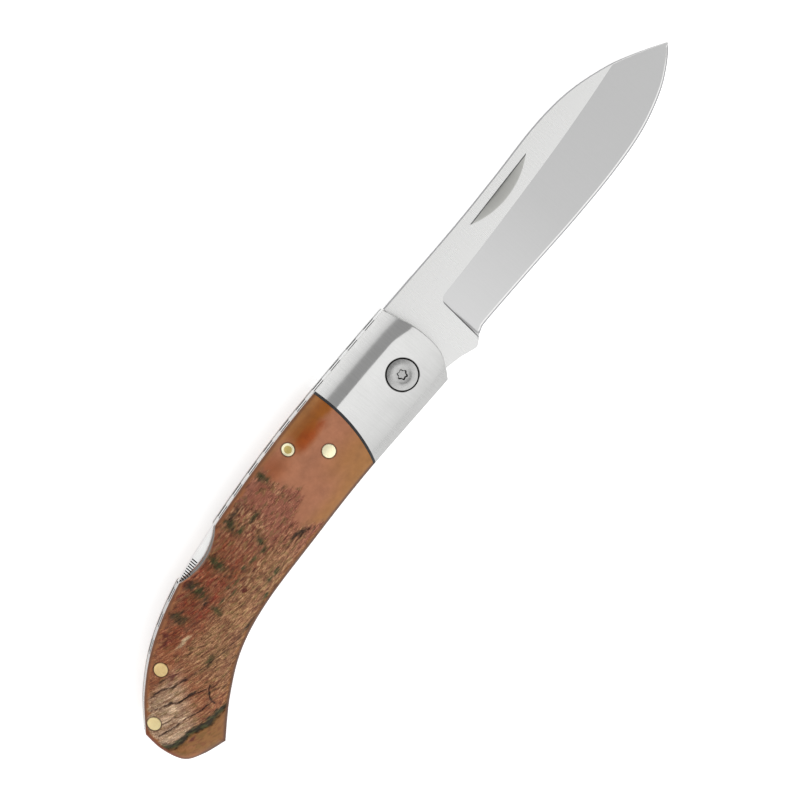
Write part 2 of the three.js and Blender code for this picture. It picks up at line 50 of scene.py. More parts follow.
MIDDLE = 7.01
blade_half = 1.5
spine_points = [
    (8, 12.25), (32, 12.25), (48, 12.75), (63, 13.5), (74, 12.75), (84, 10.05), (91, 6.9), (98.3, 2.83),
]
edge_points = [
    (18.2, -8.65), (20, -8.02), (22.5, -7.62), (38, -7.65), (54, -7.8), (68, -7.4), (79, -6.15),
    (88, -3.55), (94, -0.45), (98.3, 2.83),
]
grind_points = [(18.2, 4.0), (36, 4.8), (60, 6.5), (75, 8.0), (86, 9.4)]
plunge_start = 18.2
plunge_length = 1.9
plunge_curve = 3.5
plunge_columns = 24
side_columns = 110
tip_columns = 24
tip_start = 90.0
column_gap = 0.4
flat_rows = 4
ground_rows = 18
plunge_lean = 0.8
plunge_back = 0.2
lean_run = 14.0
grind_corner = 1.5
corner_width = 0.26
corner_fade = 1.6
blade_end = 97.95
edge_shoulder = 0.35
edge_land = 0.04
edge_bevel = 0.66
bevel_limit = 0.4
bevel_shade = 0.5
spine_round = 0.08
spine_flat = 0.15
nick_start = (36.2, 10.1)
nick_end = (57.2, 11.15)
nick_height = 2.9
nick_depth = 0.7
nick_curve = 1.5
nick_shade = 0.26
nick_clear = 0.5
pivot_hole = 2.9
tang_radius = 6.85
notch_floor = 6.2965
shoulder_x = 8.6
lobe_end = 291.6
kick_points = [(12, -8.37), (15.4, -9.57), (15.95, -9.68), (16.6, -9.6), (18.2, -8.65)]
sliver = 0.02
flush = 0.002


def spline(points, steps=48):
    """Close points of a smooth line through a few given ones."""
    given = np.array(points, float)
    last = len(given) - 1
    share = np.linspace(0, 1, steps, endpoint=False)[:, None]
    pieces = []
    for i in range(last):
        start, end = given[i], given[i + 1]
        leave = (end - given[max(i - 1, 0)]) / 2
        arrive = (given[min(i + 2, last)] - start) / 2
        pieces.append(
            (2 * (start - end) + leave + arrive) * share**3
            + (3 * (end - start) - 2 * leave - arrive) * share**2
            + leave * share
            + start
        )
    return np.vstack(pieces + [given[-1:]])


def height_on(line, x):
    """Height of a line that runs along X, at each x."""
    order = line if line[0, 0] < line[-1, 0] else line[::-1]
    return np.interp(x, order[:, 0], order[:, 1])


def smooth_step(value, low, high):
    """Share from 0 to 1 of the way from low to high, eased at both ends."""
    share = np.clip((value - low) / (high - low), 0, 1)
    return share * share * (3 - 2 * share)


def mix(start, end, share):
    return start + (end - start) * share


def distance_to(line, points):
    """Least distance from each point to a line."""
    least = np.full(len(points), np.inf)
    for start, end in zip(line[:-1], line[1:]):
        reach = end - start
        share = np.clip((points - start) @ reach / (reach @ reach), 0, 1)
        least = np.minimum(least, np.linalg.norm(points - start - share[:, None] * reach, axis=1))
    return least


def in_metres(bm, name):
    """Makes a piece of a mesh in millimetres, closed and with its faces outwards."""
    bmesh.ops.remove_doubles(bm, verts=bm.verts, dist=1e-5)
    bmesh.ops.recalc_face_normals(bm, faces=bm.faces)
    for vert in bm.verts:
        vert.co = Vector((vert.co.x, vert.co.y, vert.co.z + MIDDLE)) * 0.001
    mesh = bpy.data.meshes.new(name)
    bm.to_mesh(mesh)
    bm.free()
    piece = bpy.data.objects.new(name, mesh)
    bpy.context.scene.collection.objects.link(piece)
    return piece


def cut(piece, cutter, operation="DIFFERENCE"):
    """Cuts one piece by another, or joins them, and deletes the other."""
    modifier = piece.modifiers.new("cut", "BOOLEAN")
    modifier.operation = operation
    modifier.solver = "EXACT"
    modifier.object = cutter
    graph = bpy.context.evaluated_depsgraph_get()
    result = bpy.data.meshes.new_from_object(piece.evaluated_get(graph))
    piece.modifiers.clear()
    old = piece.data
    piece.data = result
    result.name = old.name
    bpy.data.meshes.remove(old)
    bpy.data.objects.remove(cutter)


def shade(piece, angle):
    """Smooth shading, with the edges sharper than an angle in degrees left crisp."""
    piece.data.shade_smooth()
    piece.data.set_sharp_from_angle(angle=math.radians(angle))


def turned(bm, profile, centre=(0, 0), steps=64):
    """Adds a solid turned round the Z axis from its profile of radius and height."""
    verts = [bm.verts.new((radius, 0, height)) for radius, height in profile]
    edges = [bm.edges.new(pair) for pair in zip(verts, verts[1:])]
    bmesh.ops.spin(
        bm, geom=verts + edges, cent=(0, 0, 0), axis=(0, 0, 1),
        angle=2 * math.pi, steps=steps, use_merge=True,
    )
    bmesh.ops.remove_doubles(bm, verts=bm.verts, dist=1e-5)
    fresh = [vert for vert in bm.verts if not vert.tag]
    bmesh.ops.translate(bm, verts=fresh, vec=(*centre, 0))
    for vert in fresh:
        vert.tag = True


def plate(bm, outline, low, high):
    """Adds a flat plate with the given outline."""
    face = bm.faces.new([bm.verts.new((x, y, low)) for x, y in outline])
    lifted = bmesh.ops.extrude_face_region(bm, geom=[face], use_keep_orig=True)["geom"]
    moved = [part for part in lifted if isinstance(part, bmesh.types.BMVert)]
    bmesh.ops.translate(bm, verts=moved, vec=(0, 0, high - low))


spine_line = spline(spine_points)
edge_line = spline(edge_points)
grind_line = spline(grind_points)
grind_end = grind_points[-1][0]


def spine_half(x):
    """Half the thickness at the spine, which runs down the ground face beyond the end of the grind line."""
    height = height_on(spine_line, x) - height_on(edge_line, x)
    full_height = height_on(spine_line, grind_end) - height_on(edge_line, grind_end)
    return np.minimum(blade_half, mix(edge_shoulder, blade_half, height / full_height))


def grind_at(x):
    """Height of the grind line, which rounds down into the plunge."""
    run = np.clip((plunge_start + plunge_length - x) / plunge_length, 0, 1)
    corner = grind_corner * (1 - np.sqrt(1 - run * run))
    line = height_on(grind_line, np.minimum(x, grind_end)) - corner
    return np.minimum(line, height_on(spine_line, x) - spine_flat)


def blade_rows(x):
    """Heights and half thicknesses down one side of the blade, from its spine to its edge."""
    spine = height_on(spine_line, x)
    edge = height_on(edge_line, x)
    half = spine_half(x)
    grind = grind_at(x)
    shoulder = np.minimum(edge + edge_bevel, mix(edge, spine, bevel_limit))
    round_off = np.minimum(spine_round, (spine - grind) / 2)
    plunge = 1 - (1 - np.clip((x - plunge_start) / plunge_length, 0, 1)) ** plunge_curve
    rows = [(spine, 0 * x), (spine, half - round_off), (spine - round_off, half)]
    rows += [(mix(spine - round_off, grind, (step + 1) / flat_rows), half) for step in range(flat_rows)]
    for step in range(ground_rows):
        share = (step + 1) / ground_rows
        rows.append((mix(grind, shoulder, share), mix(half, edge_shoulder, share * plunge)))
    edge_half = mix(half, edge_land, plunge)
    shoulder_half = mix(half, edge_shoulder, plunge)
    rows.append((mix(edge, shoulder, bevel_shade), mix(edge_half, shoulder_half, bevel_shade)))
    rows += [(edge, edge_half), (edge, 0 * x)]
    return rows


def blade_body():
    """The blade in front of its tang: one side as a bent grid, and its mirror image."""
    stations = np.concatenate([
        [plunge_start - 1],
        np.linspace(plunge_start, plunge_start + plunge_length, plunge_columns),
        np.linspace(plunge_start + plunge_length + column_gap, tip_start, side_columns),
        np.linspace(tip_start + column_gap, blade_end, tip_columns),
    ])
    rows = blade_rows(stations)
    bm = bmesh.new()
    bmesh.ops.create_grid(bm, x_segments=len(stations) - 1, y_segments=len(rows) - 1, size=1.0)
    for vert in bm.verts:
        column = round((vert.co.x + 1) / 2 * (len(stations) - 1))
        height, half = rows[round((1 - vert.co.y) / 2 * (len(rows) - 1))]
        vert.co = (stations[column], height[column], half[column])
    bmesh.ops.mirror(bm, geom=bm.verts[:] + bm.edges[:] + bm.faces[:], merge_dist=1e-5, axis="Z")
    bmesh.ops.remove_doubles(bm, verts=bm.verts, dist=1e-5)
    ends = [edge for edge in bm.edges if edge.is_boundary]
    bmesh.ops.holes_fill(bm, edges=ends, sides=0)
    return in_metres(bm, "ground_blade")


def tang():
    """The plate behind the blade, round at its end, with the notch for the lock and the kick below."""
    first = math.asin(notch_floor / tang_radius)
    lobe = [
        (tang_radius * math.cos(angle), tang_radius * math.sin(angle))
        for angle in np.linspace(first, math.radians(lobe_end), 90)
    ]
    kick = spline(kick_points, 8)[:-1].tolist()
    tang_back = spine_points[0][1]
    step = [(plunge_start, tang_back), (shoulder_x, tang_back), (shoulder_x, notch_floor)]
    bm = bmesh.new()
    plate(bm, step + lobe + kick + [edge_points[0]], -blade_half, blade_half)
    return in_metres(bm, "tang")


def nail_nick():
    """Cutter for the nick: a wide dish, of which the part below the nick's straight edge is kept."""
    start, end = np.array(nick_start), np.array(nick_end)
    chord = np.linalg.norm(end - start)
    radius = chord**2 / (8 * nick_height) + nick_height / 2
    up = np.array([start[1] - end[1], end[0] - start[0]]) / chord
    centre = (start + end) / 2 + up * (radius - nick_height)
    dish = [
        (radius - share * nick_height, blade_half - nick_depth * share**nick_curve)
        for share in np.linspace(0, 1.1, 12)
    ]
    bm = bmesh.new()
    turned(bm, [(0, blade_half + 1), (radius, blade_half + 1), *dish, (0, dish[-1][1])], centre, 256)
    geometry = bm.verts[:] + bm.edges[:] + bm.faces[:]
    kept = bmesh.ops.bisect_plane(
        bm, geom=geometry, dist=1e-6, plane_co=(*start, 0), plane_no=(*up, 0), clear_outer=True,
    )
    rim = [part for part in kept["geom_cut"] if isinstance(part, bmesh.types.BMEdge)]
    bmesh.ops.holes_fill(bm, edges=rim, sides=0)
    geometry = bm.verts[:] + bm.edges[:] + bm.faces[:]
    line = start - up * nick_shade
    bmesh.ops.bisect_plane(bm, geom=geometry, dist=1e-6, plane_co=(*line, 0), plane_no=(*up, 0))
    return in_metres(bm, "nick_cutter")


def material(name, **sockets):
    """A new material and its main shader, with the shader's plain values set."""
    made = bpy.data.materials.new(name)
    made.use_nodes = True
    shader = made.node_tree.nodes["Principled BSDF"]
    for socket, value in sockets.items():
        shader.inputs[socket.replace("_", " ")].default_value = value
    return made, shader


def add_node(made, kind, settings=None, **sockets):
    """Adds a node, sets its settings and its sockets, and links the sockets given another node's output."""
    new = made.node_tree.nodes.new(kind)
    for name, value in (settings or {}).items():
        setattr(new, name, value)
    for name, value in sockets.items():
        socket = new.inputs[int(name[1:])] if name[1:].isdigit() else new.inputs[name.replace("_", " ")]
        if isinstance(value, bpy.types.NodeSocket):
            made.node_tree.links.new(value, socket)
        else:
            socket.default_value = value
    return new


def link(made, output, socket):
    made.node_tree.links.new(output, socket)


def colour(red, green, blue):
    """A colour given as it looks on a screen, from 0 to 255."""
    parts = [value / 255 for value in (red, green, blue)]
    linear = [part / 12.92 if part <= 0.04045 else ((part + 0.055) / 1.055) ** 2.4 for part in parts]
    return (*linear, 1.0)


def ramp(made, factor, stops):
    """Colour ramp from (place, colour) stops."""
    new = add_node(made, "ShaderNodeValToRGB", Fac=factor)
    elements = new.color_ramp.elements
    while len(elements) < len(stops):
        elements.new(0.5)
    for element, (place, value) in zip(elements, stops):
        element.position = place
        element.color = value
    return new.outputs["Color"]


def brushed_steel(name, light, dark, roughness, lines, strength=0.25, spread=0.05, rim_wear=0.0):
    """Steel with fine lines: lines gives how many of them there are to a metre along X, Y and Z."""
    made, shader = material(name, Metallic=1.0)
    place = add_node(made, "ShaderNodeTexCoord").outputs["Object"]
    stretched = add_node(made, "ShaderNodeMapping", Vector=place, Scale=lines).outputs["Vector"]
    fine = add_node(made, "ShaderNodeTexNoise", Vector=stretched, Scale=1.0, Detail=4.0, Roughness=0.65)
    wide = add_node(made, "ShaderNodeTexNoise", Vector=place, Scale=160.0, Detail=3.0, Roughness=0.5)
    blend = add_node(
        made, "ShaderNodeMix", {"data_type": "FLOAT"},
        Factor=0.35, A=fine.outputs["Fac"], B=wide.outputs["Fac"],
    )
    tone = ramp(made, blend.outputs["Result"], [(0.3, dark), (0.7, light)])
    link(made, tone, shader.inputs["Base Color"])
    uneven = add_node(
        made, "ShaderNodeMapRange", Value=blend.outputs["Result"],
        From_Min=0.3, From_Max=0.7, To_Min=roughness - spread, To_Max=roughness + spread,
    )
    link(made, uneven.outputs["Result"], shader.inputs["Roughness"])
    if rim_wear:
        rim = add_node(made, "ShaderNodeAttribute", {"attribute_name": "rim_share"})
        worn = add_node(
            made, "ShaderNodeMath", {"operation": "MULTIPLY_ADD"},
            _0=rim.outputs["Fac"], _1=rim_wear, _2=uneven.outputs["Result"],
        )
        link(made, worn.outputs[0], shader.inputs["Roughness"])
    bump = add_node(made, "ShaderNodeBump", Height=fine.outputs["Fac"], Strength=strength, Distance=0.00002)
    link(made, bump.outputs["Normal"], shader.inputs["Normal"])
    return made


def toned_along(made, axis, start, end, shares):
    """Multiplies a material's colour by shares that change along an axis, between two places in mm."""
    shader = made.node_tree.nodes["Principled BSDF"]
    place = add_node(made, "ShaderNodeTexCoord").outputs["Object"]
    parts = add_node(made, "ShaderNodeSeparateXYZ", Vector=place)
    run = add_node(
        made, "ShaderNodeMapRange", Value=parts.outputs[axis], From_Min=start * 0.001, From_Max=end * 0.001,
    )
    level = ramp(made, run.outputs["Result"], [(stop, (share, share, share, 1)) for stop, share in shares])
    toned = add_node(
        made, "ShaderNodeMix", {"data_type": "RGBA", "blend_type": "MULTIPLY"},
        _0=1.0, _6=shader.inputs["Base Color"].links[0].from_socket, _7=level,
    )
    link(made, toned.outputs[2], shader.inputs["Base Color"])


across_blade = (9000.0, 90.0, 90.0)
blade_satin = brushed_steel(
    "blade_satin", colour(219, 219, 218), colour(214, 214, 213), 0.28, across_blade,
    strength=0.1, spread=0.03,
)
blade_ground = brushed_steel(
    "blade_ground", colour(182, 182, 182), colour(175, 175, 175), 0.34, across_blade, strength=0.12,
)
milled_steel = brushed_steel("milled_steel", colour(208, 208, 204), colour(194, 194, 190), 0.5, across_blade)
# A near-black copy of the blade steel: painted shade along the plunge's crease and under the nick's straight
# edge.
crease_shade_steel = brushed_steel("crease_shade_steel", colour(120, 120, 121), colour(96, 96, 98), 0.45, across_blade)
# A darker copy of the blade steel, used as painted shade on the narrow spine face.
spine_shade_steel = brushed_steel("spine_shade_steel", colour(146, 146, 147), colour(126, 126, 128), 0.45, across_blade)
# A darker copy of the blade steel, used as painted shade on the lower half of the edge bevel.
edge_shade_steel = brushed_steel("edge_shade_steel", colour(164, 164, 165), colour(150, 150, 152), 0.4, across_blade)
# Painted light: the ground side is brighter towards the plunge and dimmer towards the tip.
toned_along(blade_ground, "X", plunge_start, blade_end, [(0.0, 1.2), (0.42, 1.0), (1.0, 0.94)])

SATIN, GROUND, MILLED, SHADED_CREASE, SHADED_SPINE, SHADED_EDGE = range(6)


def ground_finish(x, y, spine, edge, from_corner):
    """The material of a face on the ground side: a painted shade line along the plunge's crease, the edge's
    bevel as a painted shade below a painted highlight, or the side.
    """
    shade_width = corner_width * min(max((grind_points[0][1] - y) / corner_fade, 0.4), 1)
    bevel = min(edge_bevel, (spine - edge) * bevel_limit)
    if from_corner < shade_width:
        return SHADED_CREASE
    if y >= edge + bevel or x <= plunge_start + plunge_length / 2:
        return GROUND
    # Painted shade on the bevel's lower half, and a painted highlight of the flats' brighter satin on its
    # upper half.
    return SHADED_EDGE if y < edge + bevel * bevel_shade else SATIN


blade = blade_body()
cut(blade, tang(), "UNION")
hole = bmesh.new()
turned(hole, [(0, -5), (pivot_hole, -5), (pivot_hole, 5), (0, 5)], steps=96)
cut(blade, in_metres(hole, "hole_cutter"))
cut(blade, nail_nick())
shade(blade, 3)
for finish in (blade_satin, blade_ground, milled_steel, crease_shade_steel, spine_shade_steel, edge_shade_steel):
    blade.data.materials.append(finish)
corner_x = np.linspace(plunge_start, plunge_start + plunge_length, 16)
corner_line = np.vstack([edge_points[0], np.column_stack([corner_x, grind_at(corner_x)])])
nick_reach = np.array(nick_end) - nick_start
nick_up = np.array([-nick_reach[1], nick_reach[0]]) / np.linalg.norm(nick_reach)
centres = np.array([face.center[:] for face in blade.data.polygons]) / 0.001
corner_gap = distance_to(corner_line, centres[:, :2])
for face, (x, y, z), gap in zip(blade.data.polygons, centres, corner_gap):
    depth = blade_half - abs(z - MIDDLE)
    spine, edge = height_on(spine_line, x), height_on(edge_line, x)
    if x > plunge_start + sliver and y < grind_at(x) and depth > flush:
        face.material_index = ground_finish(x, y, spine, edge, gap)
    elif nick_start[0] < x < nick_end[0] and grind_at(x) < y < spine - nick_clear and depth > flush:
        below_rim = (np.array(nick_start) - (x, y)) @ nick_up
        # Painted shade: a dark band under the nick's straight edge.
        face.material_index = SHADED_CREASE if below_rim < nick_shade else MILLED
    # Painted shade: the spine face takes the darker copy of the steel.
    elif x > spine_points[0][0] and y > spine - sliver and abs(face.normal.z) < 0.5:
        face.material_index = SHADED_SPINE
plunge_foot = edge_points[0][1]
plunge_top = grind_points[0][1]
for vert in blade.data.vertices:
    x, y = vert.co.x / 0.001, vert.co.y / 0.001
    if x > plunge_start - flush:
        height = min(max((y - plunge_foot) / (plunge_top - plunge_foot), 0), 1)
        near_plunge = 1 - smooth_step(x, plunge_start + plunge_length, plunge_start + lean_run)
        vert.co.x += (plunge_lean * height - plunge_back) * near_plunge * 0.001
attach(blade, "blade")
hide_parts("blade")


# Washers
# A thin bronze ring on each side of the blade, round the pivot. They show only as a line beside the tang.



def dress(node_name, finish):
    """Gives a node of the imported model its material, and leaves its shape as it is."""
    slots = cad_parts[node_name].data.materials
    slots.clear()
    slots.append(finish)


even_grain = (900.0, 900.0, 900.0)
bronze = brushed_steel("bronze", colour(176, 132, 82), colour(150, 108, 62), 0.35, even_grain)
for side in ("top", "bottom"):
    dress(f"pivot_washer_{side}", bronze)


# Bolster dowels
# Four blind pins that hold the bolsters on the liners, of the same steel as the liners and brushed
# lengthways like them.

along_handle = (260.0, 260.0, 9000.0)
liner_steel = brushed_steel("liner_steel", colour(212, 211, 209), colour(186, 185, 184), 0.3, along_handle)
for side in ("top", "bottom"):
    for edge_name in ("back", "belly"):
        dress(f"bolster_dowel_{side}_{edge_name}", liner_steel)


# Bolsters
# A block of steel on each liner at the front of the handle, rounded over at its edges and brushed
# across, with a slight fall towards its front end. A round recess in it takes the head of the screw or
# of its barrel.

back_points = [
    (12, 12.5), (-8, 12.42), (-30, 11.8), (-52, 9.8), (-70, 7.05), (-84, 2.55), (-94, -3.4),
    (-101.2, -10.0),
]
belly_points = [
    (12, -9.3), (-6, -9.1), (-24, -9.1), (-42, -9.95), (-60, -11.2), (-72, -13.9), (-82, -19.0),
    (-90.5, -25.0),
]
butt_points = [back_points[-1], (-101.4, -15.0), (-99.9, -20.4), (-96, -23.1), belly_points[-1]]
side_face = 7.01
liner_face = 3.26
shoulder_width = 5.95
shoulder_drop = 3.2
front_width = 4.5
front_drop = 0.35
front_edge = 0.24
front_spread = 0.17
front_top = 8.3
front_belly = 6.1
front_middle = [(10.2, 4.5), (9.8, -3.2)]
joint_top = -15.9
joint_belly = -19.2
joint_bulge = 1.5
head_sunk = 0.1
head_thickness = 1.6
recess_radius = 3.95
recess_chamfer = 0.12

back_line = spline(back_points)
belly_line = spline(belly_points)
butt_line = spline(butt_points)


def on_back(x):
    return np.stack([x, height_on(back_line, x)], axis=-1)


def on_belly(x):
    return np.stack([x, height_on(belly_line, x)], axis=-1)


def along(line, share):
    """Points at equal steps of length along a line."""
    steps = np.linalg.norm(np.diff(line, axis=0), axis=1)
    length = np.concatenate([[0], np.cumsum(steps)])
    place = share * length[-1]
    return np.stack([np.interp(place, length, line[:, axis]) for axis in (0, 1)], axis=-1)


def shallow_arc(start, end, bulge, share):
    """Points of a shallow arc between two points, which bulges to the left."""
    reach = end - start
    left = np.array([-reach[1], reach[0]]) / np.linalg.norm(reach)
    control = (start + end) / 2 + left * 2 * bulge
    share = share[..., None]
    return start * (1 - share) ** 2 + control * 2 * share * (1 - share) + end * share**2


def joint_line(shift, share):
    """The line between bolster and scale, moved back by a shift."""
    start = on_back(np.array(joint_top - shift))
    end = on_belly(np.array(joint_belly - shift))
    return shallow_arc(start, end, joint_bulge, share)


def roll_off(distance, width, drop):
    """How far a rounded shoulder lies below the face, at a distance from the rim."""
    run = np.clip(width - distance, 0, None)
    radius = (width**2 + drop**2) / (2 * drop)
    return radius - np.sqrt(radius**2 - run**2)


front_line = spline([on_back(front_top), *front_middle, on_belly(front_belly)])
rim_lines = [back_line[::6], belly_line[::6], butt_line[::6]]


def rim_distance(points):
    return np.min([distance_to(line, points) for line in rim_lines], axis=0)


def face_height(points):
    """Height of the handle's rounded side above the middle of the blade."""
    wider = 1 - front_spread * smooth_step(points[:, 0], 3.0, 10.5)
    shoulder = roll_off(rim_distance(points) * wider, shoulder_width, shoulder_drop)
    from_front = distance_to(front_line[::6], points)
    front = roll_off(from_front, front_width, front_drop) + roll_off(from_front, front_edge, front_edge)
    return side_face - shoulder - front


def pillow(bm, back, belly, front, rear, columns, rows, floor, carve=None, crowding=1.0):
    """Adds a block between four curves, flat below, with the rounded side of the handle above."""
    bmesh.ops.create_grid(bm, x_segments=columns, y_segments=rows, size=1.0)
    flat = np.array([vert.co[:] for vert in bm.verts])
    s = ((flat[:, 0] + 1) / 2) ** crowding
    t = (1 - flat[:, 1]) / 2
    places = sum(
        edge * weight[:, None]
        for edge, weight in [
            (back(s), 1 - t), (belly(s), t), (front(t), 1 - s), (rear(t), s),
            (back(0 * s), -(1 - s) * (1 - t)), (belly(0 * s), -(1 - s) * t),
            (back(0 * s + 1), -s * (1 - t)), (belly(0 * s + 1), -s * t),
        ]
    )
    heights = face_height(places)
    if carve:
        heights = heights - carve(places)
    for vert, place, height in zip(bm.verts, places, heights):
        vert.co = (*place, height)
    rim = [edge for edge in bm.edges if edge.is_boundary]
    dropped = bmesh.ops.extrude_edge_only(bm, edges=rim)["geom"]
    for part in dropped:
        if isinstance(part, bmesh.types.BMVert):
            part.co.z = floor
    open_rim = [part for part in dropped if isinstance(part, bmesh.types.BMEdge) and part.is_boundary]
    bmesh.ops.holes_fill(bm, edges=open_rim, sides=0)


def on_side(bm, side):
    """Leaves a mesh on the top of the knife, or mirrors it to the bottom."""
    if side == "bottom":
        bmesh.ops.scale(bm, vec=(1, 1, -1), verts=bm.verts)


def store(piece, name, kind, values):
    """Keeps values on the points of a mesh for its material."""
    layer = piece.data.attributes.new(name, kind, "POINT")
    key = {"FLOAT": "value", "FLOAT_VECTOR": "vector", "FLOAT_COLOR": "color"}[kind]
    layer.data.foreach_set(key, np.ascontiguousarray(values, dtype=np.float32).ravel())


across_handle = (4200.0, 150.0, 150.0)
bolster_steel = brushed_steel(
    "bolster_steel", colour(207, 207, 206), colour(194, 194, 193), 0.12, across_handle,
    strength=0.35, spread=0.03, rim_wear=0.16,
)
# Painted shade: the bolster steel is darkened towards the belly.
bolster_shade_shares = [(0.0, 0.7), (0.19, 0.75), (0.45, 0.86), (0.67, 0.94), (1.0, 1.0)]
toned_along(bolster_steel, "Y", -10.0, 5.0, bolster_shade_shares)
# Near-black dull steel for recesses and cuts: painted shade, with some oxide.
gap_shade_and_oxide = brushed_steel("gap_shade_and_oxide", colour(44, 44, 46), colour(24, 24, 26), 0.7, even_grain)
gap_shade_shader = gap_shade_and_oxide.node_tree.nodes["Principled BSDF"]
gap_shade_shader.inputs["Metallic"].default_value = 0.0
gap_shade_shader.inputs["Specular IOR Level"].default_value = 0.2
for side in ("top", "bottom"):
    block = bmesh.new()
    pillow(
        block,
        back=lambda s: on_back(mix(front_top, joint_top, s)),
        belly=lambda s: on_belly(mix(front_belly, joint_belly, s)),
        front=lambda t: along(front_line, t),
        rear=lambda t: joint_line(0, t),
        columns=120, rows=84, floor=liner_face, crowding=1.5,
    )
    on_side(block, side)
    bolster = in_metres(block, f"polished_bolster_{side}")
    hole = bmesh.new()
    recess_floor = side_face - head_sunk - head_thickness
    turned(hole, [
        (0, 1), (pivot_hole, 1), (pivot_hole, recess_floor), (recess_radius, recess_floor),
        (recess_radius, side_face - recess_chamfer), (recess_radius + recess_chamfer + 1, side_face + 1),
        (0, side_face + 1),
    ], steps=128)
    on_side(hole, side)
    cut(bolster, in_metres(hole, "recess_cutter"))
    shade(bolster, 30)
    points = np.array([vert.co[:2] for vert in bolster.data.vertices]) / 0.001
    store(bolster, "rim_share", "FLOAT", 1 - smooth_step(rim_distance(points), 1.5, 6.0))
    bolster.data.materials.append(bolster_steel)
    # The second slot paints shade, with some oxide, on the walls of the recess round the screw head.
    bolster.data.materials.append(gap_shade_and_oxide)
    for face in bolster.data.polygons:
        x, y, z = (value / 0.001 for value in face.center)
        if math.hypot(x, y) < recess_radius + 0.01 and abs(z - MIDDLE) > liner_face + 0.05:
            face.material_index = 1
    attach(bolster, "handle")
    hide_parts(f"bolster_{side}")


# Pivot
# A six-lobe screw from the top and the threaded barrel that it closes, whose head shows below. Both are
# turned from stainless steel, and the screw's face is slightly dished.

head_radius = 3.65
head_edge = 0.15
edge_step = 0.04
dish_depth = 0.06
dish_floor = 1.8
dish_shoulder = 2.05
dish_rim = 2.25
shoulder_depth = 0.01
socket_radius = 1.2
socket_lobe = 0.16
socket_depth = 0.9
socket_taper = 0.3
thread_radius = 1.9
thread_length = 8.0
barrel_radius = 2.8
pivot_play = 0.1
thread_play = 0.12

turning_lines = (1500.0, 1500.0, 800.0)
screw_steel = brushed_steel("screw_steel", colour(188, 188, 187), colour(162, 162, 161), 0.26, turning_lines)
top = side_face - head_sunk
under = top - head_thickness
screw = bmesh.new()
turned(screw, [
    (0, top - dish_depth), (dish_floor, top - dish_depth), (dish_shoulder, top - shoulder_depth),
    (dish_rim, top), (head_radius - head_edge, top), (head_radius - edge_step, top - edge_step),
    (head_radius, top - head_edge), (head_radius, under), (thread_radius, under),
    (thread_radius, under - thread_length), (0, under - thread_length),
], steps=128)
pivot_screw = in_metres(screw, "turned_pivot_screw")
socket = bmesh.new()
turn = np.linspace(0, 2 * math.pi, 96, endpoint=False)
reach = socket_radius + socket_lobe * np.cos(6 * turn)
plate(socket, zip(reach * np.cos(turn), reach * np.sin(turn)), top - socket_depth, top + 1)
for vert in socket.verts:
    wider = 1 + socket_taper * (vert.co.z - top)
    vert.co.x *= wider
    vert.co.y *= wider
cut(pivot_screw, in_metres(socket, "socket_cutter"))

barrel = bmesh.new()
head_top = -side_face + head_thickness
mouth = under - pivot_play
bore = thread_radius + thread_play
turned(barrel, [
    (0, -side_face), (head_radius - head_edge, -side_face),
    (head_radius - edge_step, -side_face + edge_step), (head_radius, -side_face + head_edge),
    (head_radius, head_top), (barrel_radius, head_top), (barrel_radius, mouth), (bore, mouth),
    (bore, mouth - thread_length - 1), (0, mouth - thread_length - 1),
], steps=128)
pivot_barrel = in_metres(barrel, "turned_pivot_barrel")
for piece, node_name in ((pivot_screw, "pivot_screw"), (pivot_barrel, "pivot_barrel")):
    shade(piece, 25)
    piece.data.materials.append(screw_steel)
    piece.data.materials.append(gap_shade_and_oxide)
    # The second slot paints shade, with some oxide, on the socket walls and down the head's side.
    for face in piece.data.polygons:
        x, y, z = (value / 0.001 for value in face.center)
        wall = math.hypot(x, y) < socket_radius + socket_lobe and abs(face.normal.z) < 0.7
        if z - MIDDLE > top - socket_depth - 0.05 and (wall or math.hypot(x, y) > head_radius - 0.01):
            face.material_index = 1
    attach(piece, "handle")
    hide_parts(node_name)


# Fibre strips
# A thin strip of black vulcanised fibre in the joint between each bolster and its scale, sanded flush.

fibre_thickness = 0.55
fibre_gap = 0.06

black_fibre, fibre_shader = material("black_fibre", Roughness=0.6)
fibre_place = add_node(black_fibre, "ShaderNodeTexCoord").outputs["Object"]
fibre_noise = add_node(black_fibre, "ShaderNodeTexNoise", Vector=fibre_place, Scale=2600.0, Detail=4.0)
fibre_stops = [(0.35, colour(20, 20, 22)), (0.75, colour(48, 50, 54))]
fibre_black = ramp(black_fibre, fibre_noise.outputs["Fac"], fibre_stops)
link(black_fibre, fibre_black, fibre_shader.inputs["Base Color"])
for side in ("top", "bottom"):
    strip = bmesh.new()
    near, far = fibre_gap, fibre_gap + fibre_thickness
    pillow(
        strip,
        back=lambda s: on_back(joint_top - mix(near, far, s)),
        belly=lambda s: on_belly(joint_belly - mix(near, far, s)),
        front=lambda t: joint_line(near, t),
        rear=lambda t: joint_line(far, t),
        columns=3, rows=110, floor=liner_face,
    )
    on_side(strip, side)
    fibre = in_metres(strip, f"fibre_line_{side}")
    shade(fibre, 30)
    fibre.data.materials.append(black_fibre)
    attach(fibre, "handle")
    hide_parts(f"fibre_strip_{side}")


# Horn scales
# A slab of ram's horn on each liner, rounded and polished at the front and along its rims. Behind, the
# horn's rough outer bark is left: fibrous, cracked at the butt, with green and dark stains in its pits.

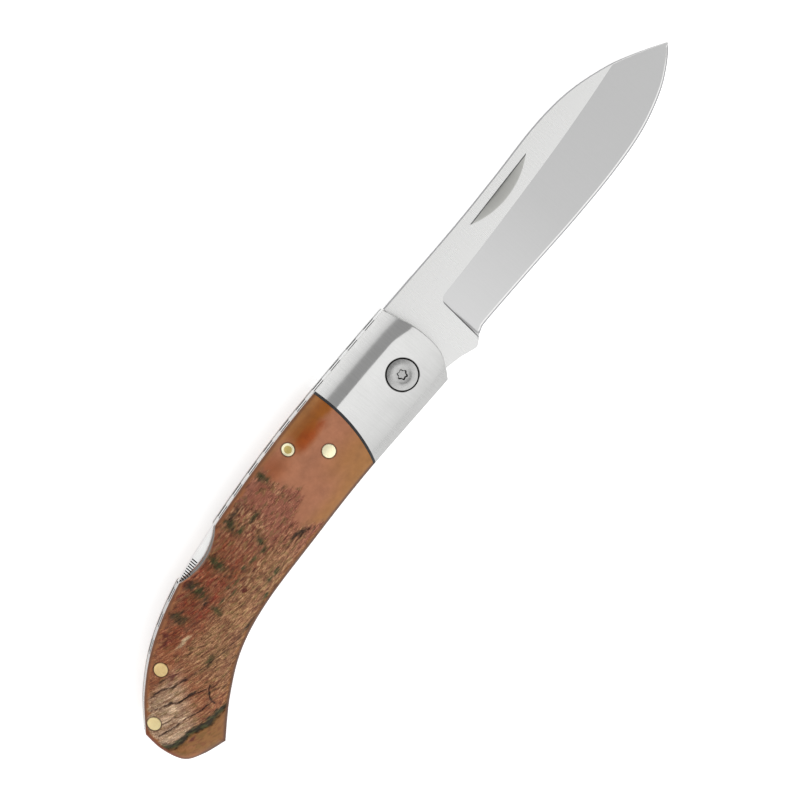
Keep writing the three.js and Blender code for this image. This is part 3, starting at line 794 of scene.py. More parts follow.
bar_pin = (-30.1, 8.6436)
rear_pin = (-87.4, -2.419)
butt_pin = (-97.9, -9.5107)
rivet_centre = (-24.2, 1.35)
bar_pin_radius = 1.45
rear_pin_radius = 1.55
butt_pin_radius = 1.5
rivet_radius = 1.6
pin_seats = [
    (bar_pin, bar_pin_radius), (rear_pin, rear_pin_radius), (butt_pin, butt_pin_radius),
    (rivet_centre, rivet_radius),
]
seat_gap = 0.1
scoop_centre = (-64.0, 20.95)
scoop_radius = 15.0

bark_edge = spline([
    (-38.0, 13), (-37.6, 6.6), (-36.9, 3.2), (-35.3, 0.7), (-35.4, -0.6), (-39.3, -2.1), (-41.8, -4.7),
    (-38.4, -8), (-38, -11),
], 12)
# Cracks: half width, depth, darkness, and the points that each one runs through
cracks = [
    (0.19, 0.34, 0.9, [(-96.6, -4.0), (-93.7, -4.9), (-90.6, -5.8), (-87.8, -7.4), (-85.3, -8.1)]),
    (0.15, 0.15, 0.7, [(-86.0, -7.9), (-82.1, -9.2), (-76, -10.4), (-69.9, -11.6)]),
    (0.2, 0.36, 0.95, [
        (-99.2, -6.4), (-96.5, -7.1), (-92.1, -8.9), (-90.6, -10.3), (-87.4, -11.4), (-84, -13.2),
    ]),
    (0.18, 0.3, 0.95, [(-99.3, -12.1), (-94.6, -13.6), (-91.5, -14.4), (-88.4, -15.5), (-86.5, -16.0)]),
    (0.15, 0.15, 0.8, [(-98.6, -10.4), (-96.4, -11.0), (-93.6, -12.0)]),
    (0.15, 0.15, 0.8, [(-92.6, -3.0), (-89.8, -4.2), (-86.4, -5.0)]),
    (0.22, 0.36, 1.0, [(-82.8, -13.1), (-84, -14.1), (-85.1, -15.3), (-85.25, -16.9)]),
]
butt_band = spline([
    (-100.9, -14.7), (-99, -16.3), (-96.2, -16.9), (-93.4, -17.4), (-91.5, -18.0), (-89.6, -18.8),
    (-87.1, -18.9), (-83.6, -19.4),
], 12)
# Stains: x, y, half length along X, half width along Y, depth of the pit, and kind
stains = [
    (-51.8, 7.5, 0.8, 1.5, 0.4, "green"), (-49.6, 8.2, 1.4, 0.4, 0.2, "dark"),
    (-51.4, 4.7, 0.9, 0.5, 0.2, "green"), (-46.8, 4.5, 1.3, 0.4, 0.25, "green"),
    (-50.0, -0.3, 0.5, 1.2, 0.2, "green"), (-54.5, -1.8, 1.3, 0.35, 0.2, "moss"),
    (-51.2, -2.3, 0.8, 0.45, 0.2, "moss"), (-60.6, 3.9, 0.9, 2.6, 0.45, "green"),
    (-38.7, 9.1, 0.7, 1.3, 0.35, "green"), (-42.3, -6.4, 1.2, 0.6, 0.4, "dark"),
    (-44.4, -5.6, 1.2, 0.35, 0.25, "dark"), (-75.7, 2.3, 1.2, 2.3, 0.3, "smudge"),
    (-68.1, 5.0, 1.1, 0.9, 0.45, "dark"), (-68.1, 2.6, 1.0, 1.3, 0.4, "green"),
    (-69.1, 0.0, 1.1, 0.5, 0.25, "dark"), (-68.7, -3.3, 0.6, 1.0, 0.35, "green"),
    (-76.3, 4.8, 0.4, 0.4, 0.3, "dark"), (-61.3, -4.9, 0.45, 0.45, 0.35, "red"),
    (-63.2, -1.6, 0.9, 0.25, 0.1, "moss"), (-60.4, -2.3, 1.1, 0.22, 0.1, "moss"),
    (-57.4, -1.3, 0.6, 0.22, 0.1, "moss"), (-66.4, -2.6, 1.1, 0.24, 0.1, "moss"),
    (-63.2, -3.4, 1.2, 0.2, 0.1, "moss"), (-79.0, -2.1, 1.6, 0.45, 0.0, "pale"),
    (-80.8, 1.2, 0.4, 0.8, 0.25, "red"), (-82.4, 0.6, 0.7, 0.3, 0.2, "red"),
    (-94.8, -18.3, 0.7, 0.35, 0.1, "red"), (-87.0, -5.7, 0.9, 0.5, 0.1, "red"),
    (-78.3, -9.6, 1.2, 0.6, 0.2, "green"), (-55.5, -7.8, 1.2, 0.3, 0.15, "green"),
    (-58.9, -9.9, 0.8, 0.5, 0.15, "green"), (-53.0, -7.8, 0.8, 0.35, 0.15, "green"),
    (-66.5, -11.2, 1.6, 0.35, 0.15, "dark"),
]
# Flaky and raised stretches of bark: the middle of each, and its half length and half width
flaky_places = [((-48.2, 5.2), (3.0, 5.0)), ((-38.4, 5.6), (1.1, 4.6)), ((-60.5, -3.5), (7.0, 1.6))]
raised_places = [((-48.2, 5.2), (3.2, 5.2)), ((-38.4, 5.6), (1.3, 4.8)), ((-44, -5), (6.0, 3.0))]


def grain_place(points):
    """Where each point lies along and across the horn's fibres, which bend down towards the butt."""
    behind = np.clip(points[:, 0] + 50, None, 0)
    bend = 0.02 * (points[:, 0] + 50) + 0.0044 * behind**2
    return np.stack([points[:, 0], points[:, 1] - bend], axis=-1)


def fractal(places, stretch, seed, octaves=4):
    """Soft noise, mostly between 0 and 1, stretched along the fibres."""
    return np.array([
        0.5 + 0.8 * noise.fractal(Vector((u * stretch[0], w * stretch[1], seed)), 0.9, 2.0, octaves)
        for u, w in places
    ])


def spot(points, centre, size, wander, inner=0.65, outer=1.25):
    """Share of 0 to 1 within an uneven oval, which fades between its inner and outer edge."""
    off = (points - np.array(centre)) / np.array(size)
    return 1 - smooth_step(np.linalg.norm(off, axis=1) + wander, inner, outer)


def other_side(points):
    """Where a point of the bottom scale looks for its marks, so that the two sides differ."""
    middle = (height_on(back_line, points[:, 0]) + height_on(belly_line, points[:, 0])) / 2
    return np.stack([points[:, 0] * 0.94 - 4.0, middle - 0.9 * (points[:, 1] - middle) + 0.6], axis=-1)


def tone(red, green, blue):
    return np.array(colour(red, green, blue)[:3])


stain_tones = {
    "green": tone(60, 62, 30), "dark": tone(44, 32, 18), "red": tone(84, 22, 20),
    "pale": tone(206, 182, 146), "smudge": tone(74, 62, 36), "moss": tone(86, 80, 44),
}
halo_tones = {
    "green": tone(86, 78, 44), "dark": tone(86, 66, 42), "red": tone(120, 54, 40),
    "pale": tone(176, 126, 88), "smudge": tone(104, 74, 48), "moss": tone(112, 82, 54),
}


def tinted(base, share, target):
    return base + (target - base) * np.clip(share, 0, 1)[:, None]


def polished_tint(places, broad):
    """Colours of the smooth horn behind the bolster."""
    x, y = places[:, 0], places[:, 1]
    tint = np.tile(tone(174, 115, 84), (len(places), 1))
    tint = tinted(tint, smooth_step(x, -33, -22) * smooth_step(-y, -3, 4), tone(170, 116, 68))
    tint = tinted(tint, smooth_step(-y, 3.5, 8.5) * 0.85, tone(158, 108, 54))
    tint = tinted(tint, smooth_step(y, 3.5, 9) * smooth_step(-x, 30, 36) * 0.7, tone(158, 84, 44))
    orange = smooth_step(y - 0.12 * (x + 24) + 1.6 * (broad - 0.5), 5.4, 8.0) * smooth_step(x, -31, -26)
    tint = tinted(tint, orange, tone(153, 89, 31))
    deep = spot(places, (-24.6, 6.7), (4.2, 1.7), 0.8 * (broad - 0.5), 0.3, 1.45)
    tint = tinted(tint, deep * 0.9, tone(158, 72, 18))
    tint = tinted(tint, smooth_step(y, 9.8, 11.2) * 0.5, tone(176, 122, 66))
    return tint * (0.93 + 0.14 * broad)[:, None]


def bark_colours(places, rough, middle, fibre, flake, speck):
    """Colours of the rough bark, from the joint with the polished horn to the butt."""
    x, y = places[:, 0], places[:, 1]
    tint = np.tile(tone(150, 90, 70), (len(places), 1))
    tint = tinted(tint, smooth_step(-x, 44, 58), tone(133, 75, 48))
    brick = smooth_step(-x + 3 * (middle - 0.5), 54, 64) * (1 - smooth_step(-x, 80, 90))
    brick = brick * smooth_step(y, -5.5, -1.0)
    tint = tinted(tint, brick, tone(124, 61, 35))
    tint = tinted(tint, brick * smooth_step(middle, 0.4, 0.7) * 0.8, tone(146, 59, 38))
    belly = smooth_step(-y + 1.5 * (middle - 0.5), 2.0, 6.0) * smooth_step(-x, 40, 52)
    tint = tinted(tint, belly * (0.55 + 0.4 * flake), tone(160, 117, 84))
    tint = tinted(tint, belly * smooth_step(middle, 0.5, 0.75) * 0.5, tone(140, 106, 66))
    rear = smooth_step(-x + 2 * (middle - 0.5), 78, 86)
    tint = tinted(tint, rear * 0.8, tone(150, 88, 57))
    layered = smooth_step(-x + 0.6 * (y + 8), 84, 91) * smooth_step(-y, 3.5, 7.0)
    tint = tinted(tint, layered * (0.6 + 0.4 * middle), tone(204, 176, 146))
    tint = tinted(tint, layered * smooth_step(fibre, 0.5, 0.7) * 0.6, tone(218, 190, 164))
    tint = tinted(tint, layered * smooth_step(-fibre, -0.46, -0.3) * 0.5, tone(128, 92, 66))
    strong = (0.45 + 0.55 * rough) * (0.35 + 0.65 * smooth_step(-x, 40, 50))
    pale = strong * (0.36 - 0.12 * brick + 0.14 * belly)
    tint = tinted(tint, smooth_step(speck, 0.56, 0.8) * pale, tone(198, 152, 112))
    tint = tinted(tint, smooth_step(fibre, 0.6, 0.8) * 0.35 * strong, tone(190, 140, 100))
    tint = tinted(tint, smooth_step(-speck, -0.38, -0.18) * 0.4 * strong, tone(84, 42, 28))
    tint = tinted(tint, smooth_step(-fibre, -0.4, -0.22) * 0.35 * strong, tone(100, 46, 32))
    for centre, size in flaky_places:
        ragged = spot(places, centre, size, 1.2 * (flake - 0.5))
        tint = tinted(tint, ragged * smooth_step(speck, 0.44, 0.64) * 0.42, tone(184, 144, 106))
        tint = tinted(tint, ragged * smooth_step(-speck, -0.42, -0.3) * 0.4, tone(86, 56, 38))
    tint = tinted(tint, smooth_step(flake, 0.64, 0.8) * 0.45 * (1 - 0.5 * brick), tone(116, 98, 52))
    return tint


def bark_roughness(places, middle, flake):
    """How rough the bark is from place to place, from 0 to 1."""
    x, y = places[:, 0], places[:, 1]
    wander = 1.2 * (flake - 0.5)
    rough = 0.25 + 0.4 * smooth_step(middle, 0.4, 0.7) + 0.15 * smooth_step(-x, 44, 56)
    for centre, size in raised_places:
        rough = np.maximum(rough, spot(places, centre, size, wander))
    rough = np.maximum(rough, 0.85 * smooth_step(-y, 1.0, 4.0))
    return mix(rough, 0.5, smooth_step(-x, 80, 88))


def horn_marks(points, side):
    """Depth of the carving and the colours of the horn at each point of a scale."""
    seed = 3.0 if side == "top" else 41.0
    rim = rim_distance(points)
    places = points if side == "top" else other_side(points)
    grain = grain_place(places)
    broad = fractal(grain, (0.16, 0.3), seed)
    middle = fractal(grain, (0.25, 0.9), seed + 7)
    fibre = fractal(grain, (0.16, 1.9), seed + 13, 3)
    flake = fractal(grain, (0.5, 1.3), seed + 19, 3)
    speck = fractal(grain, (0.6, 2.3), seed + 29, 2)
    x, y = places[:, 0], places[:, 1]

    edge_x = np.interp(y, bark_edge[::-1, 1], bark_edge[::-1, 0])
    past_edge = edge_x - x + 2.0 * (middle - 0.5) + 1.2 * (flake - 0.5)
    below_band = height_on(butt_band, x) - y
    smooth_butt = smooth_step(below_band, -0.2, 0.4) * smooth_step(-x, 83.5, 85.5)
    in_rim = smooth_step(rim + 0.9 * (middle - 0.5), 0.3, 1.1)
    rough = bark_roughness(places, middle, flake)
    bark = smooth_step(past_edge, -0.8, 1.4) * in_rim * (1 - smooth_butt) * rough
    seats = np.ones(len(points))
    seat_shade = np.ones(len(points))
    for centre, radius in pin_seats:
        away = np.linalg.norm(points - np.array(centre), axis=1) - radius
        seats = np.minimum(seats, smooth_step(away, 0.2, 1.4))
        seat_shade = np.minimum(seat_shade, smooth_step(away, seat_gap + 0.02, 0.42))

    tint = polished_tint(places, broad)
    bark_share = smooth_step(past_edge, -1.6, 1.6) * in_rim * (1 - smooth_butt)
    tint = tinted(tint, bark_share, bark_colours(places, rough, middle, fibre, flake, speck))
    depth = bark * (0.08 + 0.14 * (1 - fibre) + 0.1 * (1 - middle) + 0.08 * (1 - speck))
    tint = tinted(tint, smooth_butt, tone(146, 100, 54))
    tint = tinted(tint, smooth_butt * smooth_step(fibre, 0.5, 0.8) * 0.6, tone(166, 108, 68))
    tint = tinted(tint, smooth_butt * smooth_step(flake, 0.55, 0.8) * 0.6, tone(116, 84, 38))
    tint = tinted(tint, smooth_butt * smooth_step(-speck, -0.4, -0.25) * 0.4, tone(112, 56, 36))
    behind = smooth_step(-x, 37, 44)
    on_belly_side = smooth_step(height_on(belly_line, x) + 3 - y, 0, 1)
    rim_share = (1 - smooth_step(rim + 0.8 * (middle - 0.5), 0.5, 1.3)) * behind
    tint = tinted(tint, rim_share * 0.75, tone(162, 100, 54))
    tint = tinted(tint, rim_share * on_belly_side * 0.7, tone(126, 84, 44))
    # Painted shade: a dark outline along the rims where the horn rolls away, stronger on the belly side.
    tint = tinted(tint, (1 - smooth_step(rim, 0.3, 1.05)) * on_belly_side * 0.8, tone(92, 56, 32))
    tint = tinted(tint, (1 - smooth_step(rim, 0.2, 0.75)) * 0.65, tone(84, 46, 24))
    # Painted shade: the rounded edge at the butt is darkened to a deep orange brown.
    tint = tinted(tint, (1 - smooth_step(rim, 0.4, 1.1)) * smooth_step(-x, 99.4, 100.4), tone(128, 62, 22))

    for sx, sy, length, width, pit, kind in stains:
        wander = 0.9 * (flake - 0.5) + 0.7 * (speck - 0.5)
        in_place = smooth_step(rim, 0.4, 1.0)
        share = spot(places, (sx, sy), (length * 1.25, width * 1.2), wander, 0.25, 1.3) * in_place
        halo = spot(places, (sx, sy), (length * 2.2, width * 1.7), wander, 0.3, 1.4) * in_place
        tint = tinted(tint, halo * 0.4, halo_tones[kind])
        tint = tinted(tint, share * (0.45 + 0.9 * speck), stain_tones[kind])
        depth = np.maximum(depth, depth * 0.5 + pit * share)
    for width, pit, darkness, line in cracks:
        sway = 0.35 * np.stack([0 * x, middle - 0.5], axis=-1)
        gap = distance_to(spline(line, 8), places + sway) * (1.55 - 1.1 * flake)
        in_place = smooth_step(rim, 0.8, 1.8)
        share = (1 - smooth_step(gap, width * 0.4, width * 1.15)) * in_place
        beside = (1 - smooth_step(gap, width, width * 4)) * in_place
        tint = tinted(tint, beside * 0.3 * darkness, tone(112, 66, 46))
        tint = tinted(tint, share * darkness, tone(48, 26, 17))
        depth = np.maximum(depth, pit * share)
    band_gap = distance_to(butt_band, places)
    band_width = 0.5 + 0.6 * broad
    ragged_gap = band_gap + 0.7 * (flake - 0.5) + 0.5 * (speck - 0.5)
    band = 1 - smooth_step(ragged_gap, band_width * 0.5, band_width * 1.5)
    band *= smooth_step(rim, 0.3, 1.0)
    tint = tinted(tint, band * 0.95, tone(40, 38, 24))
    tint = tinted(tint, band * smooth_step(speck, 0.45, 0.7) * 0.6, tone(86, 92, 54))
    # Painted shade: a dark ring round each pin seat, where the gap is in shadow.
    tint = tinted(tint, 0.65 * (1 - seat_shade), tone(60, 36, 22))
    depth = np.maximum(depth, 0.5 * band)
    depth *= seats * smooth_step(rim, 0.15, 1.0)
    return depth, tint, bark, grain


ram_horn, horn_shader = material("ram_horn", Specular_IOR_Level=0.25)
tint_node, bark_node, grain_node = [
    add_node(ram_horn, "ShaderNodeAttribute", {"attribute_name": name})
    for name in ("horn_tint", "horn_bark", "horn_grain")
]
grain_vector = grain_node.outputs["Vector"]
bark_factor = bark_node.outputs["Fac"]


def horn_noise(place, scale, detail, distortion=0.0):
    """Fine noise in the horn, finer than its points can carry."""
    new = add_node(
        ram_horn, "ShaderNodeTexNoise",
        Vector=place, Scale=scale, Detail=detail, Roughness=0.6, Distortion=distortion,
    )
    return new.outputs["Fac"]


def share_stops(*stops):
    """Ramp stops from a place and three shares that the horn's colour is multiplied by."""
    return [(place, (*shares, 1)) for place, shares in stops]


fibre_place = add_node(ram_horn, "ShaderNodeMapping", Vector=grain_vector, Scale=(0.6, 3.4, 1.0))
horn_fibres = horn_noise(fibre_place.outputs["Vector"], 1.0, 5.0, distortion=0.5)
horn_grit = horn_noise(grain_vector, 4.4, 2.0)
mottle = horn_noise(grain_vector, 0.6, 5.0)
fibre_tone = ramp(ram_horn, horn_fibres, share_stops(
    (0.36, (0.4, 0.31, 0.28)), (0.46, (0.86, 0.83, 0.81)), (0.55, (1.06, 1.05, 1.04)),
    (0.66, (1.6, 1.78, 1.78)),
))
grit_tone = ramp(ram_horn, horn_grit, share_stops(
    (0.34, (0.58, 0.52, 0.5)), (0.5, (1.0, 1.0, 1.0)), (0.66, (1.36, 1.42, 1.4)),
))
smooth_tone = ramp(ram_horn, mottle, share_stops((0.3, (0.9, 0.88, 0.86)), (0.7, (1.08, 1.08, 1.08))))
times = {"data_type": "RGBA", "blend_type": "MULTIPLY"}
rough_tone = add_node(ram_horn, "ShaderNodeMix", times, _0=1.0, _6=fibre_tone, _7=grit_tone)
rough_share = add_node(ram_horn, "ShaderNodeMapRange", Value=bark_factor, From_Max=0.6)
local_tone = add_node(
    ram_horn, "ShaderNodeMix", {"data_type": "RGBA"},
    _0=rough_share.outputs["Result"], _6=smooth_tone, _7=rough_tone.outputs[2],
)
horn_colour = add_node(
    ram_horn, "ShaderNodeMix", times, _0=1.0, _6=tint_node.outputs["Color"], _7=local_tone.outputs[2],
)
link(ram_horn, horn_colour.outputs[2], horn_shader.inputs["Base Color"])
horn_gloss = add_node(ram_horn, "ShaderNodeMapRange", Value=bark_factor, To_Min=0.36, To_Max=0.62)
link(ram_horn, horn_gloss.outputs["Result"], horn_shader.inputs["Roughness"])
fibre_height = add_node(
    ram_horn, "ShaderNodeMath", {"operation": "MULTIPLY"}, _0=horn_fibres, _1=bark_factor,
)
horn_bump = add_node(
    ram_horn, "ShaderNodeBump", Height=fibre_height.outputs[0], Strength=0.7, Distance=0.0001,
)
link(ram_horn, horn_bump.outputs["Normal"], horn_shader.inputs["Normal"])


def round_cutter(bm, centre, radius, steps):
    """Adds a plug that cuts right through one scale."""
    top = side_face + 1
    turned(bm, [(0, 0), (radius, 0), (radius, top), (0, top)], centre, steps)


inner_horn = tone(166, 106, 62)
scale_inset = fibre_thickness + 2 * fibre_gap
for side in ("top", "bottom"):
    slab = bmesh.new()
    pillow(
        slab,
        back=lambda s: on_back(mix(joint_top - scale_inset, back_points[-1][0], s)),
        belly=lambda s: on_belly(mix(joint_belly - scale_inset, belly_points[-1][0], s)),
        front=lambda t: joint_line(scale_inset, t),
        rear=lambda t: along(butt_line, t),
        columns=360, rows=96, floor=liner_face,
        carve=lambda points: horn_marks(points, side)[0],
    )
    on_side(slab, side)
    scale = in_metres(slab, f"horn_scale_{side}")
    cutters = bmesh.new()
    round_cutter(cutters, scoop_centre, scoop_radius, 360)
    for centre, radius in pin_seats:
        round_cutter(cutters, centre, radius + seat_gap, 64)
    on_side(cutters, side)
    cut(scale, in_metres(cutters, "scale_cutter"))
    places = np.array([vert.co[:] for vert in scale.data.vertices]) / 0.001
    points = places[:, :2]
    depth, tint, bark, grain = horn_marks(points, side)
    inside = smooth_step(face_height(points) - depth - np.abs(places[:, 2] - MIDDLE), 0.1, 0.6)
    tint = tinted(tint, inside, inner_horn)
    store(scale, "horn_tint", "FLOAT_COLOR", np.column_stack([tint, np.ones(len(tint))]))
    store(scale, "horn_bark", "FLOAT", bark * (1 - inside))
    store(scale, "horn_grain", "FLOAT_VECTOR", np.column_stack([grain, places[:, 2]]))
    shade(scale, 40)
    scale.data.materials.append(ram_horn)
    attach(scale, "handle")
    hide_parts(f"scale_{side}")


# Pins
# Brass pins through the whole handle at the lock bar and the spacer, and a short brass rivet in each
# scale near the bolster. All are ground flush with the horn, and the bar's pin sits in a paler bush.

pin_edge = 0.08
bush_radius = 0.9


def pin_brass(name, light, dark, metal=0.35):
    """Ground brass, dulled enough to look pale from every side."""
    made = brushed_steel(name, light, dark, 0.42, (2200.0, 2200.0, 900.0), strength=0.3)
    made.node_tree.nodes["Principled BSDF"].inputs["Metallic"].default_value = metal
    return made


pale_brass = pin_brass("pale_brass", colour(248, 218, 156), colour(230, 196, 132))
light_brass = pin_brass("light_brass", colour(255, 240, 182), colour(248, 218, 156))
cream_brass = pin_brass("cream_brass", colour(255, 250, 216), colour(252, 242, 200), metal=0.6)
olive_brass = pin_brass("olive_brass", colour(212, 192, 118), colour(190, 166, 92))


def flush_pin(centre, radius, low, through, bushed=False):
    """A pin whose head follows the rounded face; a through pin has the same head below."""
    bm = bmesh.new()
    lifted = 50.0
    groove = [(bush_radius - 0.05, 0.02), (bush_radius, -0.01), (bush_radius + 0.05, 0.02)]
    rim = [(radius - pin_edge, 0), (radius - 0.02, -0.03), (radius, -pin_edge)]
    head = [(0, 0.02), *(groove if bushed else []), *rim]
    profile = [(reach, lifted + height) for reach, height in head] + [(radius, low)]
    turned(bm, profile if through else profile + [(0, low)], centre, 64)
    heads = [vert for vert in bm.verts if vert.co.z > lifted / 2]
    heights = face_height(np.array([vert.co[:2] for vert in heads]))
    for vert, height in zip(heads, heights):
        vert.co.z += height - lifted
    if through:
        bmesh.ops.mirror(bm, geom=bm.verts[:] + bm.edges[:] + bm.faces[:], merge_dist=1e-5, axis="Z")
    return bm


for name, node_name, centre, radius, head, core in [
    ("bar_pin_turned", "lock_bar_pin", bar_pin, bar_pin_radius, cream_brass, olive_brass),
    ("rear_pin_turned", "rear_pin_front", rear_pin, rear_pin_radius, pale_brass, pale_brass),
    ("butt_pin_turned", "rear_pin_butt", butt_pin, butt_pin_radius, light_brass, light_brass),
]:
    pin = in_metres(flush_pin(centre, radius, 0, True, bushed=head is not core), name)
    shade(pin, 30)
    pin.data.materials.append(head)
    pin.data.materials.append(core)
    for face in pin.data.polygons:
        off = math.hypot(face.center.x / 0.001 - centre[0], face.center.y / 0.001 - centre[1])
        if off < bush_radius and abs(face.normal.z) > 0.5:
            face.material_index = 1
    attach(pin, "handle")
    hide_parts(node_name)

rivet_low = 1.86
for side in ("top", "bottom"):
    short = flush_pin(rivet_centre, rivet_radius, rivet_low, False)
    on_side(short, side)
    rivet = in_metres(short, f"brass_rivet_{side}")
    shade(rivet, 30)
    rivet.data.materials.append(cream_brass)
    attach(rivet, "handle")
    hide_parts(f"scale_rivet_{side}")


# Lock bar, rear spacer and liners
# The bar that locks the blade, the spacer that closes the handle's back and the two liners are cut from
# steel plate and filed together along their joints. Each keeps its imported shape; its filed cuts are
# painted near-black as shade and oxide, and the lower liner and both liners' flat sides are darkened as
# painted shade.

file_pitch = 6.06
file_runs = [(3.7, 10), (-73.0, 3)]
file_places = [start - step * file_pitch for start, count in file_runs for step in range(count)]
file_length = 3.3
file_depth = 0.45
file_reach = (1.05, 2.27)
grip_run = (-69.5, -63.4)
grip_reach = (1.4, 1.655)
grip_height = 1.5
joint_faces = (1.66, 1.76)
PLAIN, SHADED_CUT, SHADED_LINER = range(3)

bar_steel = brushed_steel(
    "bar_steel", colour(222, 222, 221), colour(204, 204, 203), 0.15, along_handle, spread=0.03,
)
spacer_steel = brushed_steel(
    "spacer_steel", colour(180, 179, 178), colour(158, 158, 157), 0.25, along_handle,
)
# A darker copy of the liner steel, used as painted shade.
shaded_liner_steel = brushed_steel("shaded_liner_steel", colour(150, 149, 148), colour(130, 129, 128), 0.4, along_handle)


def is_filed(x, depth, from_middle):
    """Whether a face at this depth below the handle's back lies inside one of the file's cuts."""
    on_joint = min(abs(from_middle - joint) for joint in joint_faces) < 0.004
    along_file = min(abs(x - place) for place in file_places) < file_length / 2 + 0.05
    across_file = file_reach[0] - 0.01 < from_middle < file_reach[1]
    in_file = along_file and across_file and depth < file_depth + sliver
    in_grip = grip_run[0] < x < grip_run[1] and grip_reach[0] < from_middle < grip_reach[1]
    return depth > sliver and not on_joint and (in_file or (in_grip and depth < grip_height + 0.1))


for node_name, name, body, finish, slot in [
    ("lock_bar", "filed_lock_bar", "lock_bar", bar_steel, "bar_steel"),
    ("rear_spacer", "filed_rear_spacer", "handle", spacer_steel, "bar_steel"),
    ("liner_top", "filed_liner_top", "handle", liner_steel, "liner_steel"),
    ("liner_bottom", "filed_liner_bottom", "handle", liner_steel, "liner_steel"),
]:
    solid = bmesh.new()
    solid.from_mesh(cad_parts[node_name].data)
    bmesh.ops.remove_doubles(solid, verts=solid.verts, dist=1e-7)
    centres = np.array([face.calc_center_median()[:] for face in solid.faces]) / 0.001
    depths = distance_to(back_line[::4], centres[:, :2])
    for face, centre, depth in zip(solid.faces, centres, depths):
        # Painted shade: the liners' flat sides and the whole lower liner take the darker copy of the liner
        # steel.
        flat_side = slot == "liner_steel" and abs(face.normal.z) > 0.9
        face.material_index = SHADED_LINER if flat_side or node_name == "liner_bottom" else PLAIN
        # Faces inside the file cuts and grip grooves get near-black steel: painted shade with some oxide.
        if is_filed(centre[0], depth, abs(centre[2] - MIDDLE)):
            face.material_index = SHADED_CUT
    mesh = bpy.data.meshes.new(name)
    solid.to_mesh(mesh)
    solid.free()
    piece = bpy.data.objects.new(name, mesh)
    bpy.context.scene.collection.objects.link(piece)
    shade(piece, 8)
    piece.data.materials.append(finish)
    piece.data.materials.append(gap_shade_and_oxide)
    if slot == "liner_steel":
        piece.data.materials.append(shaded_liner_steel)
    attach(piece, body)
    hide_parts(node_name)


# Lock spring
# A leaf of spring steel, held in the rear spacer, that presses up under the tail of the bar.

rolled_lines = (260.0, 3000.0, 3000.0)
spring_steel = brushed_steel(
    "spring_steel", colour(150, 151, 154), colour(120, 121, 124), 0.34, rolled_lines,
)
dress("lock_spring", spring_steel)


# Floor, lamps and camera
# A white floor with a faint shadow, a wide lamp overhead and one before the belly. Three lamps behind the
# back, each dimmer than the one below it, end in a dark gap that the bolsters mirror as a band. The view
# is almost straight down, tilted a little to the back.

floor_size = 8.0
floor_glow = 0.56
floor_drop = 0.0002
grid = bmesh.new()
bmesh.ops.create_grid(grid, x_segments=1, y_segments=1, size=floor_size / 2)
bmesh.ops.translate(grid, verts=grid.verts, vec=(0, 0, -floor_drop))
floor_mesh = bpy.data.meshes.new("floor")
grid.to_mesh(floor_mesh)
grid.free()
floor = bpy.data.objects.new("floor", floor_mesh)
bpy.context.scene.collection.objects.link(floor)
white_floor, floor_shader = material("white_floor", Roughness=0.9)
floor_shader.inputs["Base Color"].default_value = (0.9, 0.9, 0.9, 1)
floor_shader.inputs["Specular IOR Level"].default_value = 0.0
floor_shader.inputs["Emission Color"].default_value = (1, 1, 1, 1)
path = add_node(white_floor, "ShaderNodeLightPath")
seen = path.outputs["Is Camera Ray"]
for ray in ("Is Glossy Ray", "Is Transmission Ray"):
    both = add_node(white_floor, "ShaderNodeMath", {"operation": "ADD"}, _0=seen, _1=path.outputs[ray])
    seen = both.outputs[0]
glow = add_node(white_floor, "ShaderNodeMath", {"operation": "MULTIPLY"}, _0=seen, _1=floor_glow)
link(white_floor, glow.outputs[0], floor_shader.inputs["Emission Strength"])
floor.data.materials.append(white_floor)

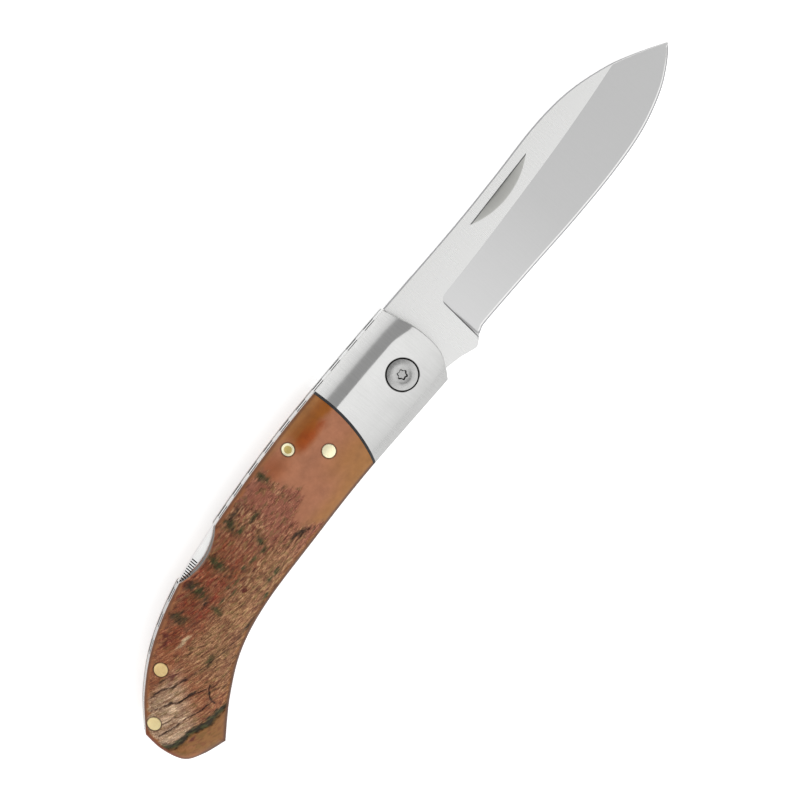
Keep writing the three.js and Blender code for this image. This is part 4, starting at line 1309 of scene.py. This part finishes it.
sky_light = 0.47
world = bpy.data.worlds.new("studio")
world.use_nodes = True
sky = world.node_tree.nodes["Background"]
sky.inputs["Color"].default_value = (1, 1, 1, 1)
sky_path = add_node(world, "ShaderNodeLightPath")
sky_strength = add_node(
    world, "ShaderNodeMapRange", Value=sky_path.outputs["Is Camera Ray"], To_Min=sky_light, To_Max=1.0,
)
link(world, sky_strength.outputs["Result"], sky.inputs["Strength"])
bpy.context.scene.world = world


def soft_lamp(name, place, aim, size, radiance):
    """A rectangular lamp that looks equally bright from everywhere in front of it."""
    lamp = bpy.data.lights.new(name, "AREA")
    lamp.shape = "RECTANGLE"
    lamp.size, lamp.size_y = size
    lamp.energy = radiance * math.pi * size[0] * size[1]
    holder = bpy.data.objects.new(name, lamp)
    holder.location = place
    holder.rotation_euler = (Vector(aim) - Vector(place)).to_track_quat("-Z", "Y").to_euler()
    holder.visible_camera = False
    bpy.context.scene.collection.objects.link(holder)


soft_lamp("overhead", (0, -1.82, 1.5), (0, -1.82, 0), (5.0, 3.4), 0.9)
soft_lamp("behind_back", (0, 3.2, 0.75), (0, 0, 0.75), (5.0, 1.5), 0.77)
soft_lamp("above_back", (0, 3.2, 2.0), (0, 0, 2.0), (5.0, 1.0), 0.65)
soft_lamp("high_back", (0, 3.2, 2.9), (0, 0, 2.9), (5.0, 0.8), 0.57)
soft_lamp("before_belly", (0, -3.6, 0.75), (0, 0, 0.75), (5.0, 1.5), 0.84)

camera_tilt = math.radians(8.7)
blade_turn = math.radians(49.2)
camera_distance = 1.0
sensor_width = 36
seen_width = 0.1846
target = Vector((-0.00472, -0.004446, 0.00701))
to_camera = Vector((0, math.sin(camera_tilt), math.cos(camera_tilt)))
up_page = Vector((0, math.cos(camera_tilt), -math.sin(camera_tilt)))
right = math.cos(blade_turn) * Vector((1, 0, 0)) - math.sin(blade_turn) * up_page
up = math.sin(blade_turn) * Vector((1, 0, 0)) + math.cos(blade_turn) * up_page
lens = bpy.data.cameras.new("camera")
lens.sensor_width = sensor_width
lens.lens = sensor_width * camera_distance / seen_width
lens.clip_end = 50
camera = bpy.data.objects.new("camera", lens)
camera.matrix_world = Matrix((right, up, to_camera)).transposed().to_4x4()
camera.location = target + camera_distance * to_camera
bpy.context.scene.collection.objects.link(camera)
bpy.context.scene.camera = camera
bpy.context.scene.view_settings.view_transform = "Standard"
